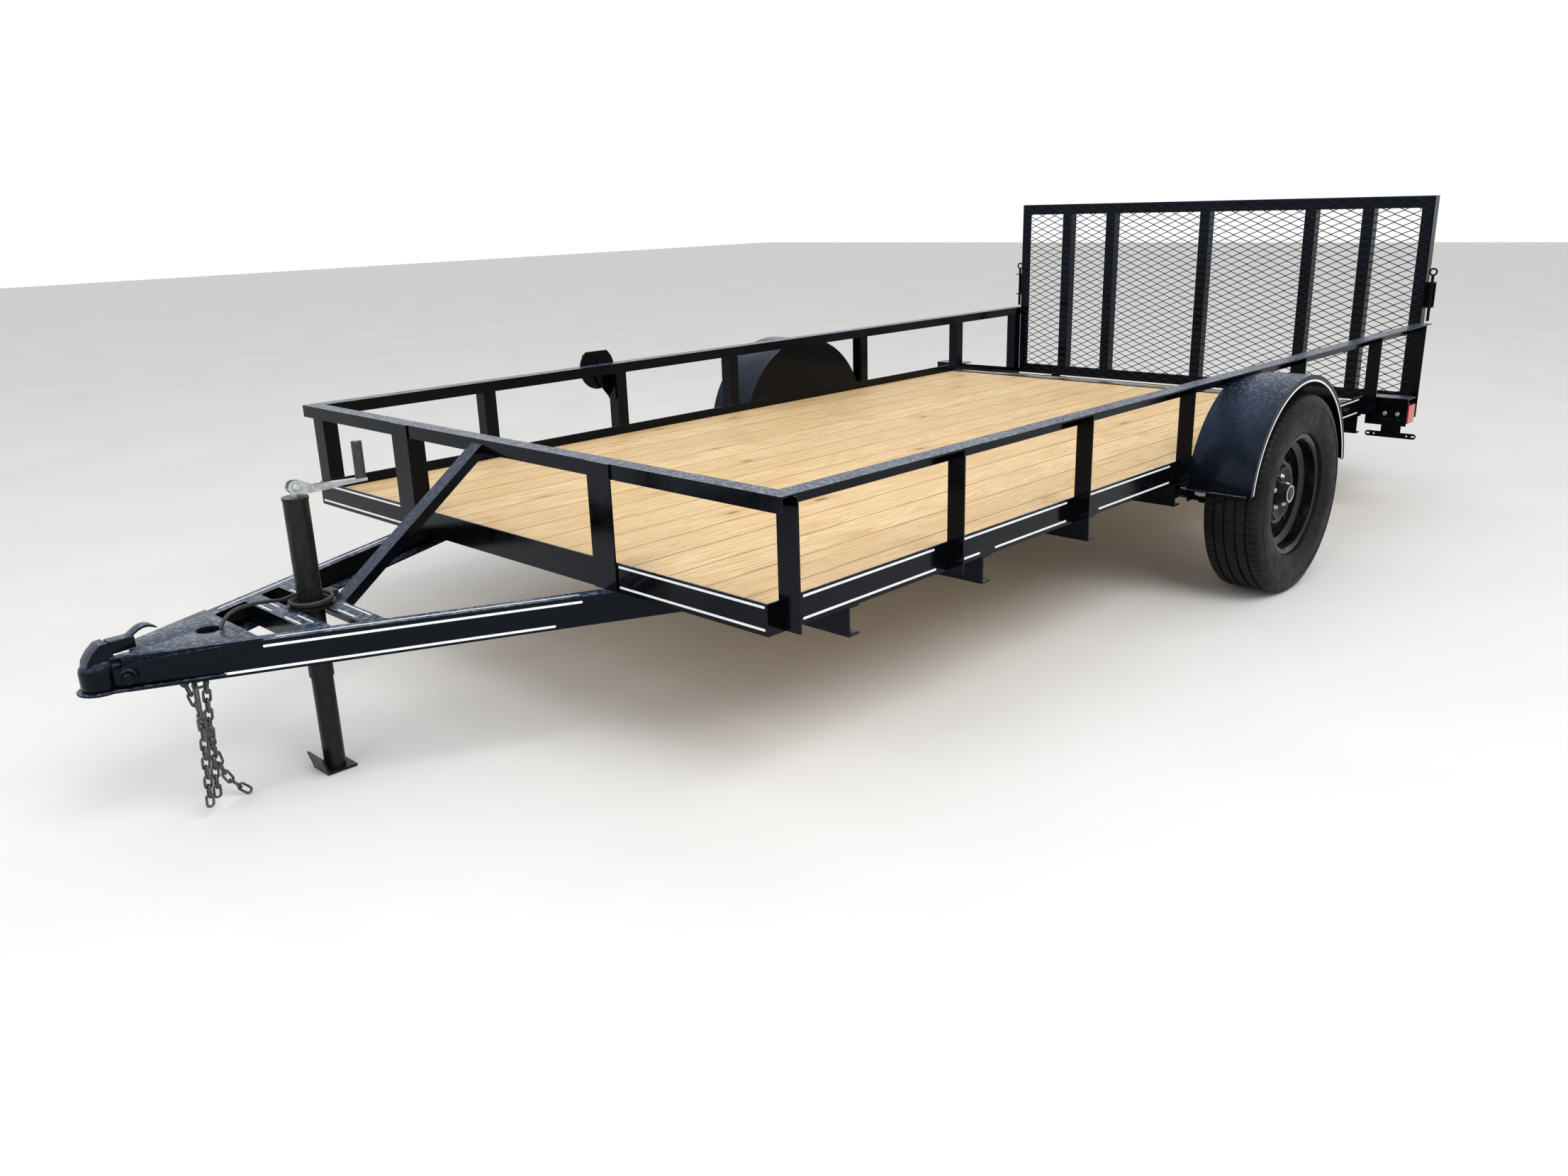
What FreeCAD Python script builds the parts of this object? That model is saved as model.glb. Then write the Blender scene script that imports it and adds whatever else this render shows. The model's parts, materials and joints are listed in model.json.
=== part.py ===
import FreeCAD, Part
import math
import os

os.makedirs("parts", exist_ok=True)

V = FreeCAD.Vector

# Single-axle utility trailer with a dovetail and an upright ramp gate, in millimetres.
# X runs forward to the coupler, Y to the left side, Z up from the ground.
# The origin is on the ground, at mid-width and mid-length.
# Stations are measured rearward from the front face of the bed's front rail.

# Bed frame
bed_half_width = 1041.0     # to the outer face of the side rails
rail_top_z = 512.0          # top edge of the lower rails
rail_height = 76.2          # upright leg of the rail angle
rail_flange = 50.8          # level leg of the rail angle
rail_wall = 4.8
break_station = 3560.0      # where the deck starts to slope down
bed_end_station = 4156.0    # the rear end of the bed's rails
dovetail_drop = 90.0        # how far the rails come down over the slope
weld_gap = 0.2              # play left between sections that are butted

# Top rails and posts
top_rail_z = 760.0          # upper face of the top rails
top_rail_leg = 38.1         # upright leg
top_rail_flange = 50.8      # level leg
top_rail_wall = 4.8
top_rail_tail = 18.0        # how far the level leg runs on beside the gate
post_leg = 50.8
post_wall = 4.8
corner_post_leg = 63.5
corner_post_setback = 36.0
front_post_width = 88.0
front_post_y = (-472.0, 474.0)
post_stations = (656.0, 1270.0, 1895.0, 2775.0, 3560.0)
rear_post_setback = 51.0

# Deck
plank_thickness = 38.0
plank_count = 15
plank_gap = 0.8
deck_edge_gap = 3.0
strip_width = 52.0
strip_rise = 4.0            # how far the strip at the break stands above the planks

# Cross members under the bed
member_depth = 76.2
member_flange = 38.1
member_wall = 4.8
member_stations = (270.0, 815.0, 1360.0, 1905.0, 2450.0, 2995.0, break_station - member_flange - 1.9)

# Tongue
tongue_angle = 25.2         # of each leg from the centre line
tongue_outer_y = 513.0      # outer face of a leg at the front rail
tongue_depth = 76.2
tongue_flange = 41.0
tongue_wall = 5.0
tongue_apex_gap = 3.0
bar_stations = (-642.0, -532.0)   # front faces of the two bars by the jack
bar_width = 50.8
bar_wall = 5.0
brace_width = 50.8
brace_depth = 25.4
brace_wall = 3.2
brace_foot_y = 13.0
brace_head_y = -60.0

# Coupler
ball_station = -1044.0
ball_socket_z = 388.0
ball_socket_r = 25.4
ball_clearance = 0.4
socket_wall = 14.0
socket_flare = 9.0          # the lip round the socket's mouth
coupler_plate = 5.0
coupler_width = 76.2
coupler_rear_station = -742.0
coupler_top_z = 441.0

# Jack
jack_station = -549.0
jack_y = 0.0
jack_tube_r = 30.0
jack_tube_wall = 3.0
jack_tube_top_z = 703.0
jack_tube_bottom_z = 252.0
jack_leg_wall = 3.5
jack_foot_size = 80.0
jack_foot_thickness = 6.0
jack_lip_height = 46.0
jack_clearance = 0.5
jack_flange_r = 56.0
jack_flange_wall = 6.0
crank_arm = 185.0
crank_grip_r = 13.0
crank_grip_height = 98.0

# Wheels and axle
axle_station = 2372.0
tyre_radius = 343.0
tyre_width = 205.0
wheel_offset = 135.0        # from the side rail's outer face to the wheel's middle plane
rim_flange_r = 208.0
rim_half_width = 76.0
rim_wall = 4.0
axle_tube_r = 30.0
hub_reach = 60.0
spring_inset = 35.0         # from the side rail's outer face to the spring's middle
spring_width = 44.5
spring_leaf = 7.0
spring_length = 660.0
spring_arch = 66.0
leaf_ratios = (1.0, 0.74, 0.50, 0.28)
hanger_wall = 6.0

# Fenders
fender_station = 2378.0
fender_centre_z = 352.0
fender_clearance = 55.0     # from the tyre's tread to the fender's outer face
fender_radius = tyre_radius + fender_clearance
fender_wall = 3.0
fender_width = 221.0
fender_lip = 24.0
fender_bottom_z = 404.0

# Ramp gate
gate_overlap = 5.0          # how far the gate's sides stand out past the side rails
gate_top_z = 1302.0
gate_bottom_z = 399.0
gate_angle = 50.8
gate_wall = 4.8
gate_clearance = 9.0        # behind the rails' ends
gate_side_gap = 14.0        # between the gate's side and the top rail's tail
gate_upright_insets = (275.0, 532.0)   # from the gate's side to the uprights' middles
hinge_z = 382.0
hinge_pin_r = 6.0
hinge_bore_clearance = 0.06
hinge_barrel_r = 11.0
hinge_barrel_length = 60.0
hinge_inset = 236.0         # from the gate's side to the outer hinges' middles
hinge_side_gap = 5.5

# Gate mesh: expanded metal over the side that faces the bed
mesh_long = 152.4           # a diamond's length across the gate
mesh_short = 68.0           # a diamond's height
mesh_strand = 8.0
mesh_thickness = 2.5
mesh_margin = 4.0           # from the gate frame's edges

# Safety chains: strands of links that hang from an eye under each leg and meet on the ground
link_length = 40.0
link_width = 22.0
link_wire = 6.4
link_gap = 0.9
chain_station = -866.0
eye_drop = 13.0             # from the leg's lower face to the middle of the eye's pin
eye_span = 22.0             # from the eye's middle to its cheeks
hook_length = 100.0
hook_width = 28.0
hook_wall = 7.0
hook_thickness = 4.6
hook_offset = 12.0          # of the hook and of the first link from the eye's middle
chain_routes = (            # X ahead of the front rail, Y, Z: near, from the hook, and far
    ((852.0, 46.0, 200.0), (852.0, 20.0, 30.0)),
    ((878.0, 79.0, 222.0), (878.0, 72.0, 190.0), (878.0, 60.0, 150.0), (878.0, 40.0, 30.0)),
    ((852.0, -76.0, 318.0), (847.0, -69.0, 290.0), (832.0, -52.0, 225.0), (824.0, -40.0, 160.0),
     (819.0, -32.0, 110.0), (814.0, -29.0, 80.0), (804.0, -26.0, 54.0), (789.0, -22.0, 32.0),
     (772.0, -18.0, 16.0)),
)

# Wiring harness: straight runs through these points, joined by arcs
harness_d = 9.0
coil_outer_r = 58.0
coil_inner_r = 41.0
coil_height = 19.6
plug_length = 38.0
plug_width = 24.0
plug_height = 18.0
plug_y = -36.0
harness_points = (          # X ahead of the front rail, Y, Z
    (776.0, 14.0, 441.2), (770.0, 12.0, 452.0), (759.0, 8.5, 462.0), (744.0, 4.5, 469.5),
    (726.0, 0.0, 473.5), (704.0, -5.0, 474.0), (678.0, -11.0, 471.5), (650.0, -18.5, 467.0),
    (624.0, -27.5, 461.0), (604.0, -34.0, 456.5), (588.0, -39.5, 453.5),
)

socket_outer_r = ball_socket_r + ball_clearance + socket_wall
coupler_reach = socket_outer_r + socket_flare - ball_station
gate_reach = bed_end_station + gate_clearance + gate_angle
front_x = (gate_reach - coupler_reach) / 2
rail_bottom_z = rail_top_z - rail_height
deck_bottom_z = rail_bottom_z + rail_wall
rail_inner_y = bed_half_width - rail_wall
post_outer_y = bed_half_width + post_leg
corner_post_outer_y = bed_half_width + corner_post_leg
bed_end_bottom_z = rail_bottom_z - dovetail_drop
slope = math.atan2(dovetail_drop, bed_end_station - break_station)
wheel_plane_y = bed_half_width + wheel_offset
spring_y = bed_half_width - spring_inset
fender_outer_y = bed_half_width + fender_width
gate_half_width = bed_half_width + gate_overlap
hinge_y = (hinge_inset - gate_half_width, -10.0, gate_half_width - hinge_inset)
gate_stations_y = [gate_upright_insets[0] - gate_half_width, gate_upright_insets[1] - gate_half_width, 0.0,
                   gate_half_width - gate_upright_insets[1], gate_half_width - gate_upright_insets[0]]


def at(station):
    """X of a station."""
    return front_x - station


def prism(points, axis, low, high):
    """A closed outline drawn in the plane across an axis, run from low to high."""
    if axis == "x":
        ring = [V(low, a, b) for a, b in points]
        along = V(high - low, 0, 0)
    elif axis == "y":
        ring = [V(a, low, b) for a, b in points]
        along = V(0, high - low, 0)
    else:
        ring = [V(a, b, low) for a, b in points]
        along = V(0, 0, high - low)
    face = Part.Face(Part.makePolygon(ring + ring[:1]))
    return face.extrude(along)


def block(x0, x1, y0, y1, z0, z1):
    """A block between two corners, given in any order."""
    low = V(min(x0, x1), min(y0, y1), min(z0, z1))
    return Part.makeBox(abs(x1 - x0), abs(y1 - y0), abs(z1 - z0), low)


def rod(start, end, radius):
    """A round bar between two points."""
    along = end - start
    return Part.makeCylinder(radius, along.Length, start, along)


def tube(start, end, outer, inner):
    """A round tube between two points."""
    return rod(start, end, outer).cut(rod(start, end, inner))


def union(shapes):
    """Pieces welded into one."""
    whole = shapes[0]
    for shape in shapes[1:]:
        whole = whole.fuse(shape)
    return whole.removeSplitter()


def mirrored(shape):
    """The same piece on the other side."""
    return shape.mirror(V(0, 0, 0), V(0, 1, 0))


def save(node, shapes):
    """Writes a node from its solids."""
    if not isinstance(shapes, (list, tuple)):
        shapes = [shapes]
    solids = []
    for shape in shapes:
        solids.extend(shape.Solids)
    whole = solids[0] if len(solids) == 1 else Part.makeCompound(solids)
    whole.exportStep("parts/" + node + ".step")
    print(node, len(solids), "solids", round(sum(s.Volume for s in solids) / 1000.0), "cm3")


# Lower rails: angles with the upright leg outside and the level leg under the planks

front_rail = union([
    block(at(0), at(rail_wall), -bed_half_width, bed_half_width, rail_bottom_z, rail_top_z),
    block(at(0), at(rail_flange), -bed_half_width, bed_half_width, rail_bottom_z, deck_bottom_z),
])
front_rail_space = union([
    block(at(-1), at(rail_wall + weld_gap), -bed_half_width - 1, bed_half_width + 1,
          rail_bottom_z - 1, rail_top_z + 1),
    block(at(-1), at(rail_flange + weld_gap), -bed_half_width - 1, bed_half_width + 1,
          rail_bottom_z - 1, deck_bottom_z + weld_gap),
])


def rail_outline(low, high, start, end):
    """The outline of a rail in side view, bent down at the break."""
    drop_end = dovetail_drop * (end - break_station) / (bed_end_station - break_station)
    return [
        (at(start), low), (at(break_station), low), (at(end), low - drop_end),
        (at(end), high - drop_end), (at(break_station), high), (at(start), high),
    ]


side_rail = union([
    prism(rail_outline(rail_bottom_z, rail_top_z, 0.0, bed_end_station), "y",
          rail_inner_y, bed_half_width),
    prism(rail_outline(rail_bottom_z, deck_bottom_z, 0.0, bed_end_station), "y",
          bed_half_width - rail_flange, bed_half_width),
]).cut(front_rail_space)

save("front_rail", front_rail)
save("side_rail_left", side_rail)
save("side_rail_right", mirrored(side_rail))

# Top rails: the side ones turn their level leg outward over the posts

top_outer_y = bed_half_width + top_rail_flange
top_leg_bottom = top_rail_z - top_rail_leg
top_plate_bottom = top_rail_z - top_rail_wall
top_inner_y = bed_half_width - top_rail_wall
front_top_rail = union([
    block(at(0), at(top_rail_wall), -top_outer_y, top_outer_y, top_leg_bottom, top_rail_z),
    block(at(0), at(top_rail_flange), -top_outer_y, top_outer_y, top_plate_bottom, top_rail_z),
])
side_top_rail = union([
    block(at(top_rail_wall + weld_gap), at(bed_end_station), top_inner_y, bed_half_width,
          top_leg_bottom, top_rail_z),
    block(at(top_rail_flange + weld_gap), at(bed_end_station), top_inner_y, top_outer_y,
          top_plate_bottom, top_rail_z),
    block(at(bed_end_station), at(bed_end_station + top_rail_tail), gate_half_width + gate_side_gap,
          top_outer_y, top_plate_bottom, top_rail_z),
]).cut(block(at(0), at(top_rail_flange + weld_gap), 0, top_outer_y + 1,
             top_plate_bottom - weld_gap, top_rail_z + 1))

save("front_top_rail", front_top_rail)
save("top_rail_left", side_top_rail)
save("top_rail_right", mirrored(side_top_rail))

# Posts: one leg stands out from the rails, the other lies on them and runs rearward


def side_post(station, low, outer_y=post_outer_y):
    """A post on the left side, from a height up to the top rail's level leg."""
    corner = at(station)
    return union([
        block(corner, corner - post_wall, bed_half_width, outer_y, low, top_plate_bottom),
        block(corner, corner - post_leg, bed_half_width, bed_half_width + post_wall,
              low, top_plate_bottom),
    ])


left_posts = [side_post(corner_post_setback, rail_bottom_z + 10.0, corner_post_outer_y)]
for station in post_stations:
    left_posts.append(side_post(station, rail_bottom_z))
left_posts.append(side_post(bed_end_station - rear_post_setback, bed_end_bottom_z + 6.0))
save("posts_left", left_posts)
save("posts_right", [mirrored(post) for post in left_posts])

front_posts = []
for centre, side in zip(front_post_y, (1, -1)):
    low_y = centre - front_post_width / 2
    high_y = centre + front_post_width / 2
    edge = high_y if side > 0 else low_y
    face = block(at(-post_wall), at(0), low_y, high_y, rail_bottom_z, top_rail_z)
    back = block(at(-post_wall), at(post_leg), edge, edge - side * post_wall,
                 rail_top_z, top_leg_bottom)
    front_posts.append(union([face, back]))
save("posts_front", front_posts)

# Tongue: two channels that open inward, from the coupler to the second cross member

tongue_top_z = rail_bottom_z
tongue_bottom_z = tongue_top_z - tongue_depth
lean = math.tan(math.radians(tongue_angle))
tongue_end_station = member_stations[1]


def leg_y(station, inset):
    """Y of a line along the left leg, inset from its outer face."""
    return tongue_outer_y + station * lean - inset / math.cos(math.radians(tongue_angle))


def leg_band(inset_a, inset_b, z0, z1):
    """A straight band of the leg between two insets, cut at the centre line and its end."""
    far = -1400.0
    outline = [
        (at(far), leg_y(far, inset_a)), (at(tongue_end_station), leg_y(tongue_end_station, inset_a)),
        (at(tongue_end_station), leg_y(tongue_end_station, inset_b)), (at(far), leg_y(far, inset_b)),
    ]
    band = prism(outline, "z", z0, z1)
    return band.common(block(at(ball_station + 40.0), at(5000), tongue_apex_gap / 2, 2000, 0, 2000))


tongue_leg = union([
    leg_band(0.0, tongue_wall, tongue_bottom_z, tongue_top_z),
    leg_band(0.0, tongue_flange, tongue_top_z - tongue_wall, tongue_top_z),
    leg_band(0.0, tongue_flange, tongue_bottom_z, tongue_bottom_z + tongue_wall),
])
leg_space = leg_band(-weld_gap, tongue_flange + weld_gap, tongue_bottom_z - 1, tongue_top_z + weld_gap)
save("tongue_left", tongue_leg)
save("tongue_right", mirrored(tongue_leg))

# Cross members: channels that hang under the rails, flush with their outer faces

members = []
for station in member_stations:
    web = block(at(station), at(station + member_wall), -bed_half_width, bed_half_width,
                rail_bottom_z - member_depth, rail_bottom_z)
    top = block(at(station), at(station + member_flange), -bed_half_width, bed_half_width,
                rail_bottom_z - member_wall, rail_bottom_z)
    foot = block(at(station), at(station + member_flange), -bed_half_width, bed_half_width,
                 rail_bottom_z - member_depth, rail_bottom_z - member_depth + member_wall)
    member = union([web, top, foot])
    if station < tongue_end_station:
        member = member.cut(leg_space).cut(mirrored(leg_space))
    members.append(member)
save("crossmembers", members)

# Rear cross member: an angle at the foot of the slope, with the gate's hinge barrels on it

hinge_x = at(bed_end_station) - hinge_barrel_r
rear_inner_y = bed_half_width - rail_flange - weld_gap
rear_low_z = bed_end_bottom_z + 1.0
rear_wall_top = hinge_z + hinge_barrel_r
rear_member = union([
    block(at(bed_end_station - rail_wall), at(bed_end_station), -rail_inner_y + weld_gap,
          rail_inner_y - weld_gap, bed_end_bottom_z + rail_wall + 1.2, rear_wall_top),
    block(at(bed_end_station - rail_wall), at(bed_end_station), -rear_inner_y, rear_inner_y,
          rear_low_z, rear_wall_top),
    block(at(bed_end_station - rail_flange), at(bed_end_station), -rear_inner_y, rear_inner_y,
          rear_low_z, rear_low_z + rail_wall),
])
barrel_bore = hinge_pin_r + hinge_bore_clearance
barrels = []
for centre in hinge_y:
    for side in (-1, 1):
        near = centre + side * (hinge_barrel_length / 2 + hinge_side_gap)
        far = near + side * hinge_barrel_length / 2
        barrels.append((V(hinge_x, min(near, far), hinge_z), V(hinge_x, max(near, far), hinge_z)))
for start, end in barrels:
    foot = block(at(bed_end_station - 1.0), hinge_x, start.y, end.y,
                 hinge_z - hinge_barrel_r, hinge_z + hinge_barrel_r)
    rear_member = rear_member.fuse(foot).fuse(rod(start, end, hinge_barrel_r))
for start, end in barrels:
    rear_member = rear_member.cut(rod(start - V(0, 1, 0), end + V(0, 1, 0), barrel_bore))
save("rear_crossmember", rear_member.removeSplitter())

# Deck: planks laid lengthwise, level in front and sloping behind the break

deck_half = rail_inner_y - deck_edge_gap
pitch = 2 * deck_half / plank_count
deck_top_z = deck_bottom_z + plank_thickness
deck_start = rail_wall + deck_edge_gap
deck_end = break_station - strip_width - weld_gap
main_planks = []
for i in range(plank_count):
    y0 = -deck_half + i * pitch + plank_gap / 2
    y1 = y0 + pitch - plank_gap
    main_planks.append(block(at(deck_start), at(deck_end), y0, y1, deck_bottom_z, deck_top_z))
save("deck_planks", main_planks)

slope_planks = []
slope_rise = plank_thickness / math.cos(slope)
slope_end = bed_end_station - rail_wall - 2.0
for i in range(plank_count):
    y0 = -deck_half + i * pitch + plank_gap / 2
    y1 = y0 + pitch - plank_gap
    drop = dovetail_drop * (slope_end - break_station) / (bed_end_station - break_station)
    low = deck_bottom_z + 0.4
    outline = [
        (at(break_station + 3.0), low - 0.45), (at(slope_end), low - drop),
        (at(slope_end), low - drop + slope_rise), (at(break_station + 3.0), low + slope_rise - 0.45),
    ]
    slope_planks.append(prism(outline, "y", y0, y1))
save("dovetail_planks", slope_planks)

strip = block(at(break_station - strip_width), at(break_station), -deck_half, deck_half,
              deck_bottom_z, deck_top_z + strip_rise)
save("deck_strip", strip)

# Bars across the tongue, the diagonal brace and the plate that holds the jack

def bar_piece(start, end, low, high):
    """A piece across the tongue between two stations, up to the legs' level flanges."""
    inset = tongue_flange + weld_gap
    outline = [(at(start), -leg_y(start, inset)), (at(start), leg_y(start, inset)),
               (at(end), leg_y(end, inset)), (at(end), -leg_y(end, inset))]
    return prism(outline, "z", low, high)


jack_hole = rod(V(at(jack_station), jack_y, 0), V(at(jack_station), jack_y, 900),
                jack_tube_r + weld_gap)
bars = []
for station in bar_stations:
    rear = station + bar_width
    wall_start = station if station == bar_stations[0] else rear - bar_wall
    level = bar_piece(station, rear, tongue_top_z - bar_wall, tongue_top_z)
    upright = bar_piece(wall_start, wall_start + bar_wall, tongue_top_z - bar_width, tongue_top_z)
    bars.append(union([level, upright]).cut(jack_hole))
save("tongue_crossbars", bars)

brace_foot_x = at(bar_stations[1] + bar_width) - weld_gap
foot_point = V(brace_foot_x, brace_foot_y, tongue_top_z - 16.0)
head_point = V(at(0.0), brace_head_y, top_rail_z - 28.0)
run = head_point - foot_point
across = V(0, 1, 0) - run * (run.y / run.dot(run))
across.normalize()
upward = run.cross(across)
upward.normalize()


def brace_run(half_wide, half_deep):
    """A flat bar along the brace, longer than the brace at both ends."""
    start = foot_point - run * 0.3
    ring = [start + across * a + upward * b
            for a, b in ((-half_wide, -half_deep), (half_wide, -half_deep),
                         (half_wide, half_deep), (-half_wide, half_deep))]
    return Part.Face(Part.makePolygon(ring + ring[:1])).extrude(run * 1.6)


brace_space = block(brace_foot_x, at(0) + weld_gap, -400, 400, 0, top_rail_z + 100)
brace = brace_run(brace_width / 2, brace_depth / 2)
brace = brace.cut(brace_run(brace_width / 2 - brace_wall, brace_depth / 2 - brace_wall)).common(brace_space)
save("tongue_brace", brace)

# Coupler: a pressed shell on the legs' nose, with a round socket and a latch above

ball_x = at(ball_station)
rear_x = at(coupler_rear_station)
plate_half_rear = leg_y(coupler_rear_station, 0.0)
plate_half_front = coupler_width / 2 - 8.0
plate_outline = [
    (rear_x, -plate_half_rear), (ball_x - 20.0, -plate_half_front),
    (ball_x - 20.0, plate_half_front), (rear_x, plate_half_rear),
]
socket_top_z = coupler_top_z + 16.0
lip_z = ball_socket_z - 22.0
plate = prism(plate_outline, "z", tongue_top_z + weld_gap, coupler_top_z)
dome = Part.makeCylinder(socket_outer_r, socket_top_z - lip_z, V(ball_x, 0, lip_z))
dome = dome.makeFillet(14.0, [e for e in dome.Edges
                              if abs(e.BoundBox.ZMin - socket_top_z) < 0.01
                              and abs(e.BoundBox.ZMax - socket_top_z) < 0.01])
neck = block(ball_x - 76.0, ball_x, -plate_half_front, plate_half_front, lip_z, socket_top_z - 9.0)
flare = Part.makeCylinder(socket_outer_r + socket_flare, 5.0, V(ball_x, 0, lip_z))
hollow_neck = block(ball_x - 76.5, ball_x, -plate_half_front + 5.0, plate_half_front - 5.0,
                    lip_z - 1.0, socket_top_z - 15.0)
coupler = union([dome, neck, flare, plate])
ball_space = Part.makeSphere(ball_socket_r + ball_clearance, V(ball_x, 0, ball_socket_z + 8.0))
throat = Part.makeCylinder(ball_socket_r + ball_clearance, ball_socket_z + 8.0 - lip_z + 1.0,
                           V(ball_x, 0, lip_z - 1.0))
oval_centre = at(-799.0)
oval_depth = coupler_top_z - tongue_top_z + 2
oval = union([
    block(oval_centre - 14, oval_centre + 14, -9, 9, tongue_top_z - 1, coupler_top_z + 1),
    Part.makeCylinder(9, oval_depth,
                      V(oval_centre - 14, 0, tongue_top_z - 1)),
    Part.makeCylinder(9, oval_depth, V(oval_centre + 14, 0, tongue_top_z - 1)),
])
nose_space = leg_band(-weld_gap, tongue_flange + weld_gap, tongue_bottom_z - 5, tongue_top_z + weld_gap)
coupler = coupler.cut(ball_space).cut(throat).cut(hollow_neck).cut(oval)
coupler = coupler.cut(nose_space).cut(mirrored(nose_space))
save("coupler_body", max(coupler.Solids, key=lambda s: s.Volume))

# The latch: a housing on the shell and a lever that curves back over it
latch_base = socket_top_z + weld_gap
lever_side = [
    (ball_x - 20, latch_base), (ball_x + 14, latch_base), (ball_x + 6, latch_base + 14),
    (ball_x - 14, latch_base + 19), (ball_x - 50, latch_base + 18), (ball_x - 90, latch_base + 19),
    (ball_x - 130, latch_base + 23), (ball_x - 130, latch_base + 17), (ball_x - 90, latch_base + 12),
    (ball_x - 52, latch_base + 9), (ball_x - 34, latch_base + 5),
]
latch = prism(lever_side, "y", -15.0, 15.0)
save("coupler_latch", latch)

# Jack: a round tube through the plate, a square leg with its foot, and the crank on top

jack_x = at(jack_station)
jack_tube = tube(V(jack_x, jack_y, jack_tube_bottom_z), V(jack_x, jack_y, jack_tube_top_z),
                 jack_tube_r, jack_tube_r - jack_tube_wall)
jack_cap = rod(V(jack_x, jack_y, jack_tube_top_z), V(jack_x, jack_y, jack_tube_top_z + 7.0),
               jack_tube_r + 1.5)
jack_flange = tube(V(jack_x, jack_y, tongue_top_z + weld_gap),
                   V(jack_x, jack_y, tongue_top_z + weld_gap + jack_flange_wall),
                   jack_flange_r, jack_tube_r - jack_tube_wall / 2)
save("jack_tube", union([jack_tube, jack_cap, jack_flange]))

jack_leg_r = jack_tube_r - jack_tube_wall - jack_clearance
leg_top_z = jack_tube_bottom_z + 150.0
jack_leg = tube(V(jack_x, jack_y, jack_foot_thickness), V(jack_x, jack_y, leg_top_z),
                jack_leg_r, jack_leg_r - jack_leg_wall)
foot_half = jack_foot_size / 2
foot_plate = block(jack_x - foot_half, jack_x + foot_half, jack_y - foot_half, jack_y + foot_half,
                   0.0, jack_foot_thickness)
lip_side = [
    (jack_x + foot_half - 1.0, 0.0), (jack_x + foot_half + 12.0, jack_lip_height),
    (jack_x + foot_half + 6.0, jack_lip_height), (jack_x + foot_half - 6.0, jack_foot_thickness),
    (jack_x + foot_half - 8.0, 0.0),
]
foot_lip = prism(lip_side, "y", jack_y - foot_half, jack_y + foot_half)
save("jack_leg", union([jack_leg, foot_plate, foot_lip]))

cap_top = jack_tube_top_z + 7.0
crank_z = cap_top + 12.0
crank_side = [
    (0, 28), (-14, 27), (-50, 10), (-90, 8), (-crank_arm, 4), (-crank_arm, -3), (-120, -4),
    (-80, -7), (-20, -8), (0, -4),
]
crank_channel = prism([(jack_x + a, crank_z + b) for a, b in crank_side], "y", jack_y - 11, jack_y + 11)
crank_slot = prism([(jack_x + a, crank_z + b + 3.0) for a, b in crank_side[:4] + [(-90, -4), (0, -5)]],
                   "y", jack_y - 8, jack_y + 8)
crank = union([
    rod(V(jack_x, jack_y, cap_top + weld_gap), V(jack_x, jack_y, crank_z + 8.0), 10.0),
    rod(V(jack_x, jack_y - 11, crank_z + 12), V(jack_x, jack_y + 11, crank_z + 12), 16.0).cut(
        block(jack_x - 40, jack_x + 40, jack_y - 8, jack_y + 8, crank_z + 2, crank_z + 40)),
    crank_channel.cut(crank_slot),
    rod(V(jack_x - crank_arm + 12, jack_y, crank_z),
        V(jack_x - crank_arm + 12, jack_y, crank_z + crank_grip_height), 5.0),
])
save("jack_crank", crank)
grip = tube(V(jack_x - crank_arm + 12, jack_y, crank_z + 5.0),
            V(jack_x - crank_arm + 12, jack_y, crank_z + crank_grip_height - 2.0),
            crank_grip_r, 5.3)
save("jack_grip", grip)

# Axle, springs and their hangers

axle_x = at(axle_station)
axle_z = tyre_radius
hub_inner_y = wheel_plane_y - 74.0
axle_beam = rod(V(axle_x, -hub_inner_y + 8, axle_z), V(axle_x, hub_inner_y - 8, axle_z), axle_tube_r)
spindle_r = 16.0
spindle = rod(V(axle_x, -wheel_plane_y - 30, axle_z), V(axle_x, wheel_plane_y + 30, axle_z), spindle_r)
save("axle_beam", union([axle_beam, spindle]))

spring_top = axle_z - axle_tube_r
eye_r = 15.0
eye_bore_r = 8.0
spring_pad_half = 38.0
leaf_count = len(leaf_ratios)
spring_half = spring_length / 2


def spring_curve(x):
    """Height of the pack's upper face at a distance from the axle."""
    return spring_top + spring_arch * (x / spring_half) ** 2


# The pack in side view: one long upper face, and a step where each leaf ends
curve_steps = (-1.0, -0.75, -0.5, -0.28, 0.0, 0.28, 0.5, 0.75, 1.0)
pack_outline = [(axle_x + spring_half * t, spring_curve(spring_half * t)) for t in curve_steps]
for layer, ratio in enumerate(leaf_ratios):
    x = spring_half * ratio
    shorter = spring_half * leaf_ratios[layer + 1] if layer + 1 < leaf_count else 0.0
    for reach in (x, shorter):
        pack_outline.append((axle_x + reach, spring_curve(reach) - (layer + 1) * spring_leaf))
for layer in range(leaf_count - 1, -1, -1):
    x = spring_half * leaf_ratios[layer]
    if layer + 1 < leaf_count:
        shorter = spring_half * leaf_ratios[layer + 1]
        pack_outline.append((axle_x - shorter, spring_curve(shorter) - (layer + 1) * spring_leaf))
    pack_outline.append((axle_x - x, spring_curve(x) - (layer + 1) * spring_leaf))
spring_inner_y = spring_y - spring_width / 2
spring_outer_y = spring_y + spring_width / 2
spring = prism(pack_outline, "y", spring_inner_y, spring_outer_y)
eye_z = spring_curve(spring_half) - spring_leaf / 2
eye_x = (axle_x - spring_half, axle_x + spring_half)
for x in eye_x:
    spring = spring.fuse(rod(V(x, spring_inner_y, eye_z), V(x, spring_outer_y, eye_z), eye_r))
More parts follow.
